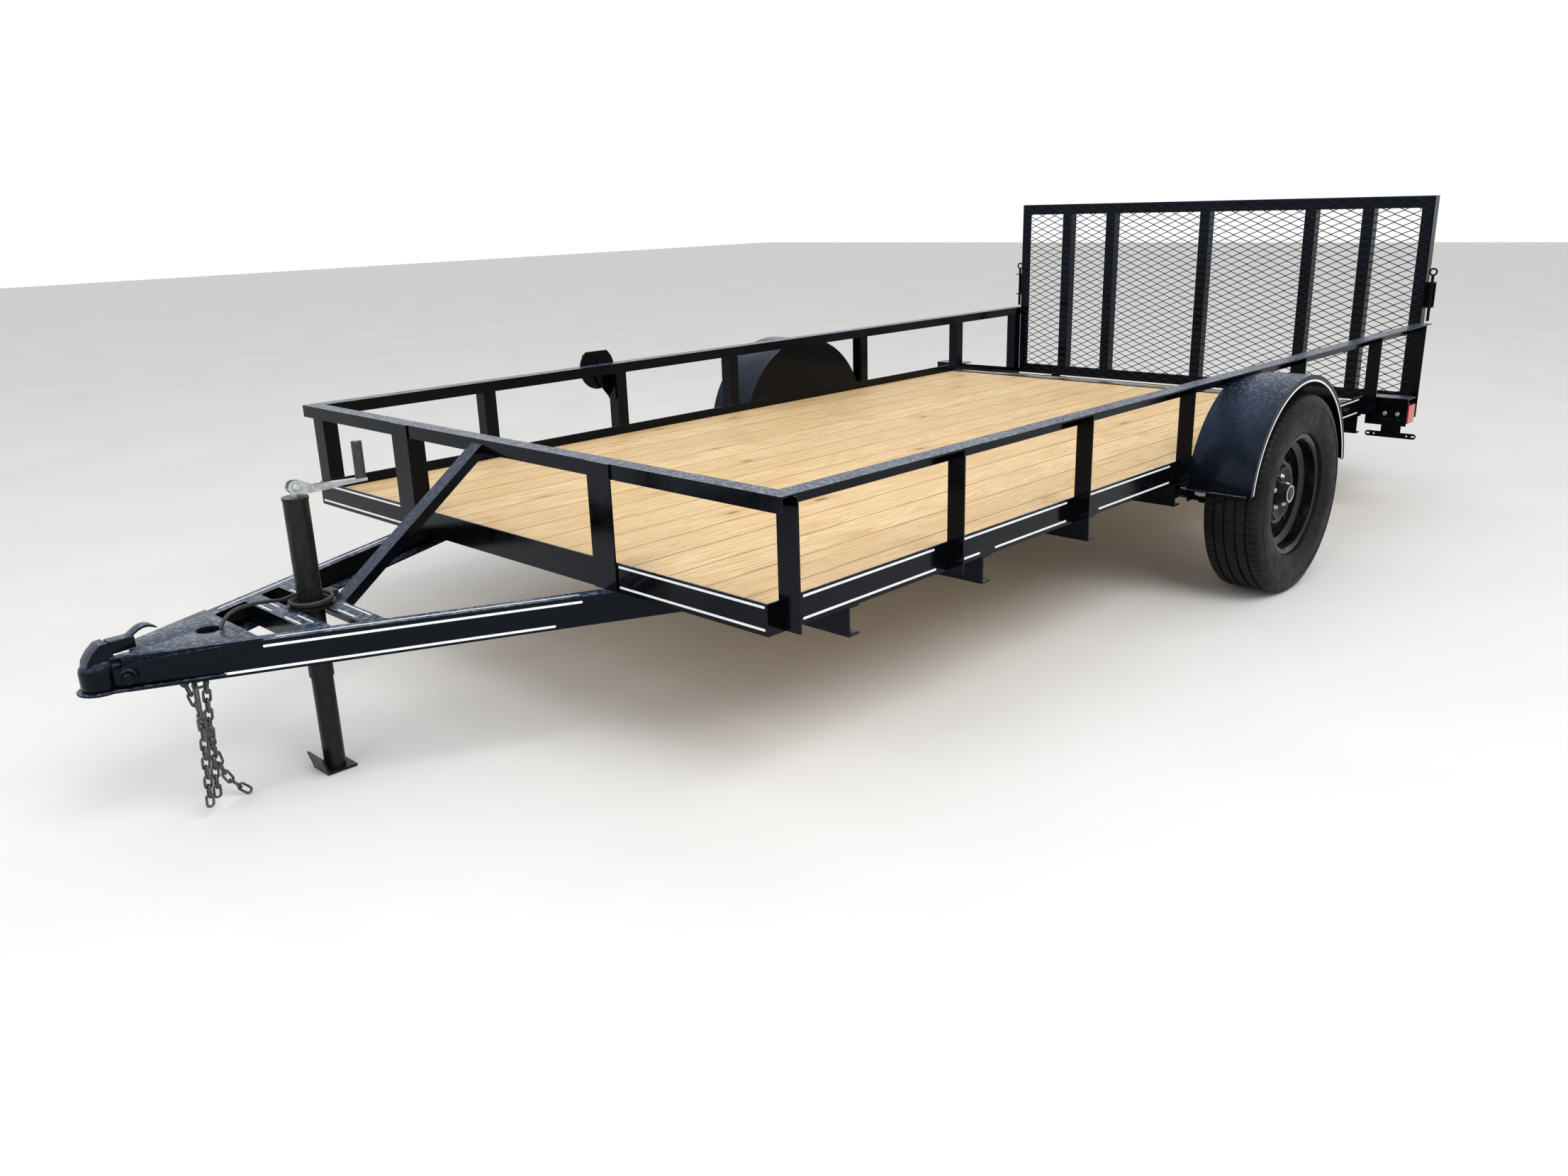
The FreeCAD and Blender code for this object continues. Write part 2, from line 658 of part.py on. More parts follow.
for x in eye_x:
    spring = spring.cut(rod(V(x, spring_inner_y - 1.0, eye_z), V(x, spring_outer_y + 1.0, eye_z), eye_bore_r))
pad = block(axle_x - spring_pad_half, axle_x + spring_pad_half, spring_inner_y, spring_outer_y,
            spring_top - 3.0, axle_z - 6.0)
axle_space = rod(V(axle_x, spring_inner_y - 1.0, axle_z), V(axle_x, spring_outer_y + 1.0, axle_z), axle_tube_r)
pad = pad.cut(axle_space)
spring = spring.cut(axle_space)
spring = union([spring, pad])
save("leaf_springs", [spring, mirrored(spring)])

hangers = []
for x in eye_x:
    for y in (spring_inner_y - weld_gap - hanger_wall, spring_outer_y + weld_gap):
        hangers.append(block(x - 22, x + 22, y, y + hanger_wall, eye_z - 20, rail_bottom_z))
    hangers.append(rod(V(x, spring_inner_y - 14, eye_z), V(x, spring_outer_y + 14, eye_z),
                       eye_bore_r - 0.2))
hanger_front = union([hangers[0], hangers[1], hangers[2]])
hanger_rear = union([hangers[3], hangers[4], hangers[5]])
save("spring_hangers", [hanger_front, hanger_rear, mirrored(hanger_front), mirrored(hanger_rear)])

bolt_r = 5.5
bolt_x = axle_tube_r + bolt_r + 1.0
bolt_y = spring_width / 2 + bolt_r + 1.5
clamp_top = spring_top - leaf_count * spring_leaf
clamp = block(axle_x - 48, axle_x + 48, spring_y - bolt_y - 12, spring_y + bolt_y + 12,
              clamp_top - 8.0, clamp_top)
u_bolts = [clamp]
for side in (-1, 1):
    y = spring_y + side * bolt_y
    for dx in (-bolt_x, bolt_x):
        u_bolts.append(rod(V(axle_x + dx, y, clamp_top - 22), V(axle_x + dx, y, axle_z), bolt_r))
    bend = Part.makeTorus(bolt_x, bolt_r, V(axle_x, y, axle_z), V(0, 1, 0))
    bend = bend.common(block(axle_x - 90, axle_x + 90, y - 9, y + 9, axle_z, axle_z + 90))
    u_bolts.append(bend)
clamp = union(u_bolts)
save("spring_clamps", [clamp, mirrored(clamp)])

# Wheels: tyre, steel rim with eight round holes, and hub with its cap


def turned(outline, side):
    """A ring turned about the axle from (offset outboard, radius) points."""
    ring = [V(axle_x, side * (wheel_plane_y + a), axle_z + r) for a, r in outline]
    face = Part.Face(Part.makePolygon(ring + ring[:1]))
    return face.revolve(V(axle_x, 0, axle_z), V(0, 1, 0), 360.0)


half_tyre = tyre_width / 2
bead_r = rim_flange_r - 16.0
bead_y = rim_half_width - 10.5
tyre_facets = 40
tyre_outer = [(bead_y, bead_r), (rim_half_width - 4.5, bead_r + 5.0), (rim_half_width - 4.4, rim_flange_r + 3.0),
              (half_tyre - 10.0, rim_flange_r + 16.0), (half_tyre, 268.0),
              (half_tyre - 12.0, tyre_radius - 18.0), (half_tyre - 38.0, tyre_radius)]
tyre_inner = [(bead_y - 6.0, bead_r), (half_tyre - 20.0, 274.0)]


def facet_ring(outline, side):
    """A closed ring of flat facets about the axle from (offset outboard, radius) points."""
    corners = []
    for k in range(tyre_facets):
        turn = -math.pi / 2 + 2 * math.pi * k / tyre_facets
        corners.append([V(axle_x + r * math.cos(turn), side * (wheel_plane_y + a), axle_z + r * math.sin(turn))
                        for a, r in outline])
    faces = []
    for k in range(tyre_facets):
        here = corners[k]
        there = corners[(k + 1) % tyre_facets]
        for i in range(len(outline)):
            j = (i + 1) % len(outline)
            ring = [here[i], here[j], there[j], there[i]]
            faces.append(Part.Face(Part.makePolygon(ring + ring[:1])))
    solid = Part.makeSolid(Part.makeShell(faces))
    if solid.Volume < 0:
        solid.reverse()
    return solid


open_up = 1.0 / math.cos(math.pi / tyre_facets)
tyre_side = [(a, r * open_up if r < rim_flange_r + 10.0 else r) for a, r in tyre_outer]
tyre_bore = [(a, r * open_up if r < rim_flange_r + 10.0 else r) for a, r in tyre_inner]
tyre_ring = tyre_side + [(-a, r) for a, r in tyre_side[::-1]] + [(-a, r) for a, r in tyre_bore]
tyre_ring += tyre_bore[::-1]
rim_outline = [
    (-rim_half_width, rim_flange_r), (-rim_half_width + 4, rim_flange_r),
    (-rim_half_width + 4.2, bead_r + 4), (-rim_half_width + 9.5, bead_r - 0.3), (-42, bead_r - 3),
    (-30, 168), (18, 168), (30, bead_r - 3), (rim_half_width - 9.5, bead_r - 0.3),
    (rim_half_width - 4.2, bead_r + 4), (rim_half_width - 4, rim_flange_r), (rim_half_width, rim_flange_r),
    (rim_half_width, bead_r + 2), (rim_half_width - 7, bead_r - 5), (33, bead_r - 8), (21, 163), (-33, 163),
    (-45, bead_r - 8), (-rim_half_width + 7, bead_r - 5), (-rim_half_width, bead_r + 2),
]
disc_outline = [
    (0.0, 42.0), (5.0, 42.0), (5.0, 76.0), (13.0, 88.0), (21.0, 98.0), (23.0, 108.0), (20.0, 122.0),
    (8.0, 148.0), (3.0, 158.0), (3.0, 163.5), (-2.0, 163.5), (-2.0, 156.0), (3.0, 146.0), (15.0, 120.0),
    (18.0, 108.0), (16.0, 101.0), (8.0, 91.0), (0.0, 79.0),
]
lug_circle_r = 57.15
lug_hole_r = 7.0
rim_hole_r = 15.5
rim_hole_circle_r = 121.0
rim_hole_count = 8
stud_count = 5

for name, side in (("left", 1), ("right", -1)):
    tyre = facet_ring(tyre_ring, side)
    rim = union([turned(rim_outline, side), turned(disc_outline, side)])
    plane_y = side * wheel_plane_y
    for i in range(rim_hole_count):
        a = 2 * math.pi * (i + 0.5) / rim_hole_count
        x = axle_x + rim_hole_circle_r * math.cos(a)
        z = axle_z + rim_hole_circle_r * math.sin(a)
        rim = rim.cut(rod(V(x, plane_y - 60, z), V(x, plane_y + 60, z), rim_hole_r))
    hub_start = plane_y - side * 74.0
    hub = union([
        rod(V(axle_x, hub_start, axle_z), V(axle_x, plane_y - side * 14, axle_z), 40.0),
        rod(V(axle_x, plane_y - side * 14, axle_z), V(axle_x, plane_y - side * 0.1, axle_z), 76.0),
        rod(V(axle_x, plane_y - side * 0.1, axle_z), V(axle_x, plane_y + side * 48, axle_z), 33.0),
        rod(V(axle_x, plane_y + side * 44, axle_z), V(axle_x, plane_y + side * hub_reach, axle_z), 30.0),
    ])
    for i in range(stud_count):
        a = 2 * math.pi * (i + 0.25) / stud_count
        x = axle_x + lug_circle_r * math.cos(a)
        z = axle_z + lug_circle_r * math.sin(a)
        rim = rim.cut(rod(V(x, plane_y - 60, z), V(x, plane_y + 60, z), lug_hole_r))
        hub = hub.fuse(rod(V(x, plane_y - side * 10, z), V(x, plane_y + side * 26, z), 6.0))
    bore_end = plane_y + side * 36.0
    hub = hub.cut(rod(V(axle_x, hub_start - side * 1, axle_z), V(axle_x, bore_end, axle_z), spindle_r + 0.3))
    save("tyre_" + name, tyre)
    save("rim_" + name, rim)
    save("hub_" + name, hub.removeSplitter())

# Fenders: a round shell with a lip round its outer edge and a plate against the bed

fender_x = at(fender_station)
fender_inner_y = bed_half_width
below = block(-5000, 5000, 0, 3000, -100, fender_bottom_z)


def half_ring(outer, inner, y0, y1):
    """A ring about the fender's centre, cut off level at its lower edge."""
    ring = rod(V(fender_x, y0, fender_centre_z), V(fender_x, y1, fender_centre_z), outer)
    ring = ring.cut(rod(V(fender_x, y0 - 1, fender_centre_z), V(fender_x, y1 + 1, fender_centre_z), inner))
    return ring.cut(below)


fender_shell = half_ring(fender_radius, fender_radius - fender_wall, fender_inner_y, fender_outer_y)
fender_rim = half_ring(fender_radius, fender_radius - fender_lip, fender_outer_y - fender_wall, fender_outer_y)
back_plate = rod(V(fender_x, fender_inner_y, fender_centre_z),
                 V(fender_x, fender_inner_y + fender_wall, fender_centre_z), fender_radius)
back_plate = back_plate.cut(below)
fender_foot_front = block(fender_x + fender_radius - 40, fender_x + fender_radius + 14,
                          fender_inner_y, fender_outer_y - 14, fender_bottom_z, fender_bottom_z + fender_wall)
fender_foot_front = fender_foot_front.cut(
    rod(V(fender_x, 0, fender_centre_z), V(fender_x, 3000, fender_centre_z), fender_radius - fender_wall))
fender = union([fender_shell, fender_rim, back_plate, fender_foot_front])
for post in left_posts:
    fender = fender.cut(post)
fender = fender.cut(block(-5000, 5000, 0, top_outer_y, top_plate_bottom, top_rail_z + 50))
fender = max(fender.Solids, key=lambda s: s.Volume)
save("fender_left", fender)
save("fender_right", mirrored(fender))

# Ramp gate: an angle frame with five uprights, on pins in the rear member's barrels

gate_front_x = at(bed_end_station + gate_clearance)
gate_rear_x = gate_front_x - gate_angle


def gate_upright(centre):
    """An inner upright: a face strip and a leg that runs rearward at its left edge."""
    y0 = centre - gate_angle / 2
    y1 = centre + gate_angle / 2
    z0 = gate_bottom_z + gate_wall
    z1 = gate_top_z - gate_wall
    return [
        block(gate_front_x, gate_front_x - gate_wall, y0, y1, z0, z1),
        block(gate_front_x, gate_rear_x, y1 - gate_wall, y1, z0, z1),
    ]


gate_parts = [
    block(gate_front_x, gate_front_x - gate_wall, -gate_half_width, gate_half_width,
          gate_top_z - gate_angle, gate_top_z),
    block(gate_front_x, gate_rear_x, -gate_half_width, gate_half_width, gate_top_z - gate_wall, gate_top_z),
    block(gate_front_x, gate_front_x - gate_wall, -gate_half_width, gate_half_width,
          gate_bottom_z, gate_bottom_z + gate_angle),
    block(gate_front_x, gate_rear_x, -gate_half_width, gate_half_width,
          gate_bottom_z, gate_bottom_z + gate_wall),
    block(gate_front_x, gate_front_x - gate_wall, gate_half_width - gate_angle, gate_half_width,
          gate_bottom_z, gate_top_z),
    block(gate_front_x, gate_rear_x, gate_half_width - gate_wall, gate_half_width,
          gate_bottom_z, gate_top_z),
    block(gate_front_x, gate_front_x - gate_wall, -gate_half_width, -gate_half_width + gate_angle,
          gate_bottom_z, gate_top_z),
    block(gate_front_x, gate_rear_x, -gate_half_width, -gate_half_width + gate_wall,
          gate_bottom_z, gate_top_z),
]
for centre in gate_stations_y:
    gate_parts.extend(gate_upright(centre))
for centre in hinge_y:
    y0 = centre - hinge_barrel_length / 2
    y1 = centre + hinge_barrel_length / 2
    gate_parts.append(rod(V(hinge_x, y0, hinge_z), V(hinge_x, y1, hinge_z), hinge_barrel_r))
    gate_parts.append(block(hinge_x, hinge_x - 16.0, y0 + 6, y1 - 6, hinge_z, gate_bottom_z + 1.0))
    reach = hinge_barrel_length / 2 + hinge_side_gap
    gate_parts.append(rod(V(hinge_x, y0 - reach, hinge_z), V(hinge_x, y1 + reach, hinge_z), hinge_pin_r))
gate_frame = union(gate_parts)
save("gate_frame", gate_frame)

# Mesh: a thin plate of diamonds, half a diamond over in every second row, on the gate's front face
mesh_low_z = gate_bottom_z + mesh_margin
mesh_high_z = gate_top_z - mesh_margin
mesh_half = gate_half_width - mesh_margin
mesh_columns = int(2 * mesh_half / mesh_long)
mesh_rows = int((mesh_high_z - mesh_low_z) / mesh_short)
cell_y = 2 * (mesh_half - mesh_strand) / mesh_columns
cell_z = (mesh_high_z - mesh_low_z - 2 * mesh_strand) / mesh_rows
diamond_y = cell_y / 2 - mesh_strand / 2 * math.hypot(cell_y, cell_z) / cell_z
diamond_z = diamond_y * cell_z / cell_y
mesh_x = gate_front_x


def mesh_ring(points):
    """A closed wire on the mesh's rear plane."""
    ring = [V(mesh_x, y, z) for y, z in points]
    return Part.makePolygon(ring + ring[:1])


edge_y = mesh_half - mesh_strand
edge_low = mesh_low_z + mesh_strand
edge_high = mesh_high_z - mesh_strand
rings = [mesh_ring([(-mesh_half, mesh_low_z), (mesh_half, mesh_low_z),
                    (mesh_half, mesh_high_z), (-mesh_half, mesh_high_z)])]
for row in range(mesh_rows):
    z = edge_low + (row + 0.5) * cell_z
    for column in range(mesh_columns):
        y = -edge_y + (column + 0.5) * cell_y
        rings.append(mesh_ring([(y - diamond_y, z), (y, z - diamond_z), (y + diamond_y, z), (y, z + diamond_z)]))
for row in range(mesh_rows + 1):
    z = edge_low + row * cell_z
    for column in range(mesh_columns + 1):
        y = -edge_y + column * cell_y
        corners = [(y - diamond_y, z), (y, z - diamond_z), (y + diamond_y, z), (y, z + diamond_z)]
        if column == 0:
            corners = corners[1:]
        if column == mesh_columns:
            corners = [corners[0], corners[1], corners[3]] if len(corners) == 4 else corners
        if row == 0:
            corners = [c for c in corners if c[1] > z - 0.01]
        if row == mesh_rows:
            corners = [c for c in corners if c[1] < z + 0.01]
        if len(corners) > 2:
            rings.append(mesh_ring(corners))
holes = rings[1:]
for ring in holes:
    ring.reverse()
mesh_face = Part.Face(rings[0])
mesh_face.cutHoles(holes)
gate_mesh = mesh_face.extrude(V(mesh_thickness, 0, 0))
save("gate_mesh", gate_mesh)

# Gate latches: a bracket on each outer upright with a pin that drops to the top rail's end
latch_z = (826.0, 938.0)
latch_y = gate_half_width + 22.0
latch_x = gate_front_x - 18.0
pin_r = 6.5
latch_set = [
    block(latch_x + 16, latch_x - 16, gate_half_width, latch_y + 14, latch_z[0], latch_z[0] + 5),
    block(latch_x + 16, latch_x - 16, gate_half_width, latch_y + 14, latch_z[1] - 5, latch_z[1]),
    block(latch_x - 11, latch_x - 16, gate_half_width, latch_y + 14, latch_z[0], latch_z[1]),
    rod(V(latch_x, latch_y, top_rail_z + 8.0), V(latch_x, latch_y, latch_z[1] + 30), pin_r),
    Part.makeTorus(14.0, 4.0, V(latch_x, latch_y, latch_z[1] + 42), V(1, 0, 0)),
]
gate_latch = union(latch_set)
save("gate_latches", [gate_latch, mirrored(gate_latch)])

# Spare-wheel carrier on the right side: a round plate with studs on a bracket from the post

carrier_station = 1223.0
carrier_z = 745.0
carrier_r = 83.0
carrier_offset = 11.0        # of the plate's outer face from the posts
carrier_plate_wall = 6.0
arm_wall = 5.0
carrier_stud_r = 6.0
carrier_stud_circle_r = 57.15
carrier_stud_length = 38.0
cx = at(carrier_station)
carrier_face_y = post_outer_y + carrier_offset
arm_x0 = at(post_stations[1]) + weld_gap
arm_outline = [
    (arm_x0, carrier_z + 40), (cx - 4.0, carrier_z + 40), (cx + 20.0, carrier_z - 20.0),
    (cx + 10.0, carrier_z - 55.0), (arm_x0, carrier_z - 125.0),
]
arm = prism(arm_outline, "y", post_outer_y - arm_wall, post_outer_y)
arm_shelf = block(arm_x0, cx + 8.0, post_outer_y - arm_wall, carrier_face_y - carrier_plate_wall,
                  carrier_z - 12, carrier_z - 12 + arm_wall)
arm_rib = block(arm_x0, arm_x0 + arm_wall, bed_half_width + post_wall + 1, post_outer_y,
                carrier_z - 125.0, top_plate_bottom - 3.0)
arm_web = block(cx - 3.0, cx + 3.0, post_outer_y - arm_wall, carrier_face_y - carrier_plate_wall,
                carrier_z - 50.0, carrier_z + 40.0)
plate_disc = rod(V(cx, carrier_face_y - carrier_plate_wall, carrier_z), V(cx, carrier_face_y, carrier_z),
                 carrier_r)
plate_disc = plate_disc.cut(block(cx - 200, cx + 200, 900, 1300, carrier_z + 66.0, carrier_z + 200))
carrier_bits = [arm, arm_shelf, arm_web, arm_rib, plate_disc]
for i in range(5):
    a = math.radians(54.0 + 72.0 * i)
    x = cx + carrier_stud_circle_r * math.cos(a)
    z = carrier_z + carrier_stud_circle_r * math.sin(a)
    carrier_bits.append(rod(V(x, carrier_face_y - 1.0, z), V(x, carrier_face_y + carrier_stud_length, z),
                            carrier_stud_r))
carrier = union(carrier_bits)
carrier = carrier.cut(block(-5000, 5000, 0, top_outer_y + weld_gap, top_plate_bottom - weld_gap,
                            top_rail_z + 60))
carrier = max(carrier.Solids, key=lambda s: s.Volume)
save("spare_carrier", mirrored(carrier))

# Tail lights: an angle guard outboard of each post at the break, with a red lamp behind it

guard_station = 3611.0
guard_width = 164.0
guard_outer_y = bed_half_width + guard_width
guard_bottom_z = 391.0
guard_top_z = 505.0
guard_depth = 84.0
guard_wall = 4.0
lamp_depth = 76.0
lamp_z = (403.0, 478.0)
guard = union([
    block(at(guard_station), at(guard_station + guard_wall), bed_half_width + weld_gap, guard_outer_y,
          guard_bottom_z, guard_top_z),
    block(at(guard_station), at(guard_station + guard_depth), bed_half_width + weld_gap, guard_outer_y,
          guard_top_z - guard_wall, guard_top_z),
])
save("light_guards", [guard, mirrored(guard)])
lamp_front = at(guard_station + guard_wall)
lamp = block(lamp_front, lamp_front - lamp_depth, bed_half_width + 18, guard_outer_y + 5.0,
             lamp_z[0], lamp_z[1])
lamp = lamp.makeFillet(6.0, [e for e in lamp.Edges if e.BoundBox.XMax < lamp_front - lamp_depth + 0.01])
save("tail_lamps", [lamp, mirrored(lamp)])

# Licence plate bracket under the left light, with a slot at each end, and its small light

licence_offset = 108.0       # from the side rail's outer face to the plate's middle
plate_y = bed_half_width + licence_offset
licence_bar_z = 352.5
licence_bar_height = 23.0
licence_bar_half = 101.0
licence_slot_r = 3.0
licence_slot_length = 14.0
licence_hole_r = 3.5
licence_wall = 3.0
licence_stem_half = 39.0
plate_x = at(guard_station) + 3.0
slot_spacing = 177.8
bar_round = licence_bar_height / 2
plate_back = plate_x - licence_wall
bracket_parts = [
    block(plate_x, plate_back, plate_y - licence_bar_half + bar_round, plate_y + licence_bar_half - bar_round,
          licence_bar_z - bar_round, licence_bar_z + bar_round),
    block(plate_x, plate_back, plate_y - licence_stem_half, plate_y + licence_stem_half,
          licence_bar_z + bar_round / 2, guard_bottom_z + 26.0),
]
for side in (-1, 1):
    y = plate_y + side * (licence_bar_half - bar_round)
    bracket_parts.append(rod(V(plate_x, y, licence_bar_z), V(plate_back, y, licence_bar_z), bar_round))
bracket = union(bracket_parts)
slot_half = licence_slot_length / 2 - licence_slot_r
for side in (-1, 1):
    y = plate_y + side * slot_spacing / 2
    slot = union([
        block(plate_x + 2, plate_back - 2, y - slot_half, y + slot_half,
              licence_bar_z - licence_slot_r, licence_bar_z + licence_slot_r),
        rod(V(plate_x + 2, y - slot_half, licence_bar_z), V(plate_back - 2, y - slot_half, licence_bar_z),
            licence_slot_r),
        rod(V(plate_x + 2, y + slot_half, licence_bar_z), V(plate_back - 2, y + slot_half, licence_bar_z),
            licence_slot_r),
    ])
    hole_y = y - side * 24.0
    hole = rod(V(plate_x + 2, hole_y, licence_bar_z), V(plate_back - 2, hole_y, licence_bar_z), licence_hole_r)
    bracket = bracket.cut(slot).cut(hole)
save("licence_bracket", bracket)
plate_light = block(plate_back, plate_back - 27.0, plate_y - 20, plate_y + 20,
                    licence_bar_z + bar_round + 6.0, guard_bottom_z - 1.0)
save("licence_light", plate_light)

# Safety chains: interlocked links of few facets, the first round its eye's pin or the hook's bar

half_long = (link_length - link_wire) / 2
half_wide = (link_width - link_wire) / 2
link_pitch = link_length - 2 * link_wire - link_gap
link_shape = ((1.0, 0.35), (0.62, 1.0), (-0.62, 1.0), (-1.0, 0.35),
              (-1.0, -0.35), (-0.62, -1.0), (0.62, -1.0), (1.0, -0.35))


def link(centre, along, flat):
    """A link: an oval loop of eight bars with a square section, lying across the direction flat."""
    side_way = along.cross(flat)
    side_way.normalize()
    upright = side_way.cross(along)
    upright.normalize()
    grow = link_wire / 2
    loops = []
    for lift, spread in ((-grow, 0.0), (0.0, grow), (grow, 0.0), (0.0, -grow)):
        loops.append([centre + along * (u * (half_long + spread)) + side_way * (v * (half_wide + spread))
                      + upright * lift for u, v in link_shape])
    faces = []
    for k in range(len(loops)):
        here = loops[k]
        there = loops[(k + 1) % len(loops)]
        for i in range(len(link_shape)):
            j = (i + 1) % len(link_shape)
            for ring in ([here[i], here[j], there[j]], [here[i], there[j], there[i]]):
                faces.append(Part.Face(Part.makePolygon(ring + ring[:1])))
    solid = Part.makeSolid(Part.makeShell(faces))
    if solid.Volume < 0:
        solid.reverse()
    return solid


def strand(carrier, reach, first_flat, route):
    """Links from a pin or bar along a route, each turned a quarter from the one before."""
    points = [carrier] + [V(front_x + x, y, z) for x, y, z in route]
    first_way = points[1] - points[0]
    first_way = first_way - first_flat * first_way.dot(first_flat)
    first_way.normalize()
    start = carrier + first_way * reach
    marks = [start]
    here = start
    index = 1
    while index < len(points):
        goal = points[index]
        if (goal - here).Length < link_pitch:
            index += 1
            continue
        step = goal - here
        step.normalize()
        here = here + step * link_pitch
        marks.append(here)
    links = []
    flat = first_flat
    for i, centre in enumerate(marks):
        before = marks[max(i - 1, 0)]
        after = marks[min(i + 1, len(marks) - 1)]
        along = after - before if i else first_way
        along.normalize()
        links.append(link(centre, along, flat))
        flat = flat.cross(along)
        flat.normalize()
    return links


chain_parts = []
pin_z = tongue_bottom_z - eye_drop
chain_x = at(chain_station)
hook = None
for side, routes in ((1, chain_routes[:2]), (-1, chain_routes[2:])):
    eye_y = side * leg_y(chain_station, tongue_flange / 2)
    pin_r = link_wire / 2
    eye = [rod(V(chain_x - eye_span, eye_y, pin_z), V(chain_x + eye_span, eye_y, pin_z), pin_r)]
    for end in (-eye_span, eye_span):
        eye.append(block(chain_x + end - 3.0, chain_x + end + 3.0, eye_y - 7.0, eye_y + 7.0,
                         pin_z - 6.0, tongue_bottom_z))
    chain_parts.append(union(eye))
    carrier = V(chain_x - hook_offset, eye_y, pin_z)
    chain_parts.extend(strand(carrier, half_long - link_wire - link_gap, V(1, 0, 0), routes[0]))
    if len(routes) > 1:
        slot_top = pin_z + pin_r + link_gap
        hook_x = chain_x + hook_offset
        hook_low = slot_top + hook_wall - hook_length
        outline = []
        opening = []
        for turn in range(0, 360, 30):
            c = math.cos(math.radians(turn))
            d = math.sin(math.radians(turn))
            middle = slot_top + hook_wall - hook_width / 2 if d >= 0 else hook_low + hook_width / 2
            outline.append((eye_y + c * hook_width / 2, middle + d * hook_width / 2))
            inner = hook_width / 2 - hook_wall
            opening.append((eye_y + c * inner, middle + d * inner))
        hook = prism(outline, "x", hook_x - hook_thickness / 2, hook_x + hook_thickness / 2)
        hook = hook.cut(prism(opening, "x", hook_x - hook_wall, hook_x + hook_wall))
        carrier = V(hook_x, eye_y, hook_low + hook_wall / 2)
        reach = half_long - link_wire / 2 - link_gap - hook_wall / 2
        chain_parts.extend(strand(carrier, reach, V(0, 1, 0), routes[1]))
print("links and eyes", len(chain_parts), "lowest", round(min(c.BoundBox.ZMin for c in chain_parts), 2))
save("safety_chains", chain_parts)
save("chain_hooks", hook)

# Wiring harness: the tube from the coupler's plate, the coil round the jack and the plug behind it


def rounded_route(points):
    """Straight runs joined by tangent arcs, with the length and the radii."""
    edges = []
    radii = []
    here = points[0]
    for i in range(1, len(points) - 1):
        back = points[i - 1] - points[i]
        on = points[i + 1] - points[i]
        shorter = min(back.Length, on.Length)
        back.normalize()
        on.normalize()
        turn = math.pi - back.getAngle(on)
        trim = 0.45 * shorter
        radii.append(trim / math.tan(turn / 2))
        start = points[i] + back * trim
        end = points[i] + on * trim
        inward = back + on
        inward.normalize()
        bulge = radii[-1] / math.cos(turn / 2) - radii[-1]
        edges.append(Part.LineSegment(here, start).toShape())
        edges.append(Part.Arc(start, points[i] + inward * bulge, end).toShape())
        here = end
    edges.append(Part.LineSegment(here, points[-1]).toShape())
    return Part.Wire(edges), radii


route = [V(front_x + x, y, z) for x, y, z in harness_points]
path, radii = rounded_route(route)
first_way = route[1] - route[0]
profile = Part.Wire(Part.makeCircle(harness_d / 2, route[0], first_way))
harness = path.makePipeShell([profile], True, True)
section = math.pi * harness_d ** 2 / 4
print("harness radii", [round(r) for r in radii], "length", round(path.Length, 1),
      "volume share", round(harness.Volume / (section * path.Length), 4))
plate_top = block(rear_x - 50, ball_x, -100, 100, coupler_top_z - 50.0, coupler_top_z + weld_gap)
coil_low = tongue_top_z + weld_gap + jack_flange_wall + weld_gap
coil = tube(V(jack_x, jack_y, coil_low), V(jack_x, jack_y, coil_low + coil_height), coil_outer_r, coil_inner_r)
coil_space = rod(V(jack_x, jack_y, coil_low - 20), V(jack_x, jack_y, coil_low + 60), coil_outer_r + weld_gap)
save("wiring_harness", harness.cut(plate_top).cut(coil_space))
save("harness_coil", coil)
plug_front = jack_x - coil_outer_r - weld_gap
plug = block(plug_front, plug_front - plug_width, plug_y - plug_length / 2, plug_y + plug_length / 2,
             tongue_top_z + weld_gap, tongue_top_z + weld_gap + plug_height)
save("harness_plug", plug)
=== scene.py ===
# %% [markdown]
# # A utility trailer, dressed in Blender
# The steel, planks, wheels and gate of this trailer come in as finished solids, the "frame".
# This lesson gives them their paint, wood and rubber, and adds what is too fine for the frame:
# pinstripes, tyre tread, wheel nuts, chain links, the gate's mesh, the coupler's pressed shell,
# small bolts and the wiring harness.
# Everything is in metres, X runs forward to the coupler, Y to the left side and Z up.

# %% Load the trailer
import bpy
import json
import math
from mathutils import Matrix, Vector


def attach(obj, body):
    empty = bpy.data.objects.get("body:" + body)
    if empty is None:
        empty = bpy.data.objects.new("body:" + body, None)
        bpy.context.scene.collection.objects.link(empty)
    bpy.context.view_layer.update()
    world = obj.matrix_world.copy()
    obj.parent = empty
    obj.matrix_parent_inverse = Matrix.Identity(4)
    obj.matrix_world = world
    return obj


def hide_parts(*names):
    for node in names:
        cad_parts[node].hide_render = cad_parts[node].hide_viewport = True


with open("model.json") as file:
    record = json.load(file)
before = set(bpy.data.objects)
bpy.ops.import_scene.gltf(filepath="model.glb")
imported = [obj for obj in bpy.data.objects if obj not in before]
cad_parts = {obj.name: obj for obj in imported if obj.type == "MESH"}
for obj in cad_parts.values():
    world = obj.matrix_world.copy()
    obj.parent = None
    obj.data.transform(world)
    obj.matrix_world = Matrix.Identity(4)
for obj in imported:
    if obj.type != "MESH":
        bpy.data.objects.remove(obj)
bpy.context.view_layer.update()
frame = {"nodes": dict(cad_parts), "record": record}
nodes = frame["nodes"]

# %% [markdown]
# ## Measuring the frame
# A piece that sits on the steel takes its place from the steel. A node's own corners say
# where its faces lie, and the record says where the wheels turn and where the tow ball sits.

# %% Measure the frame


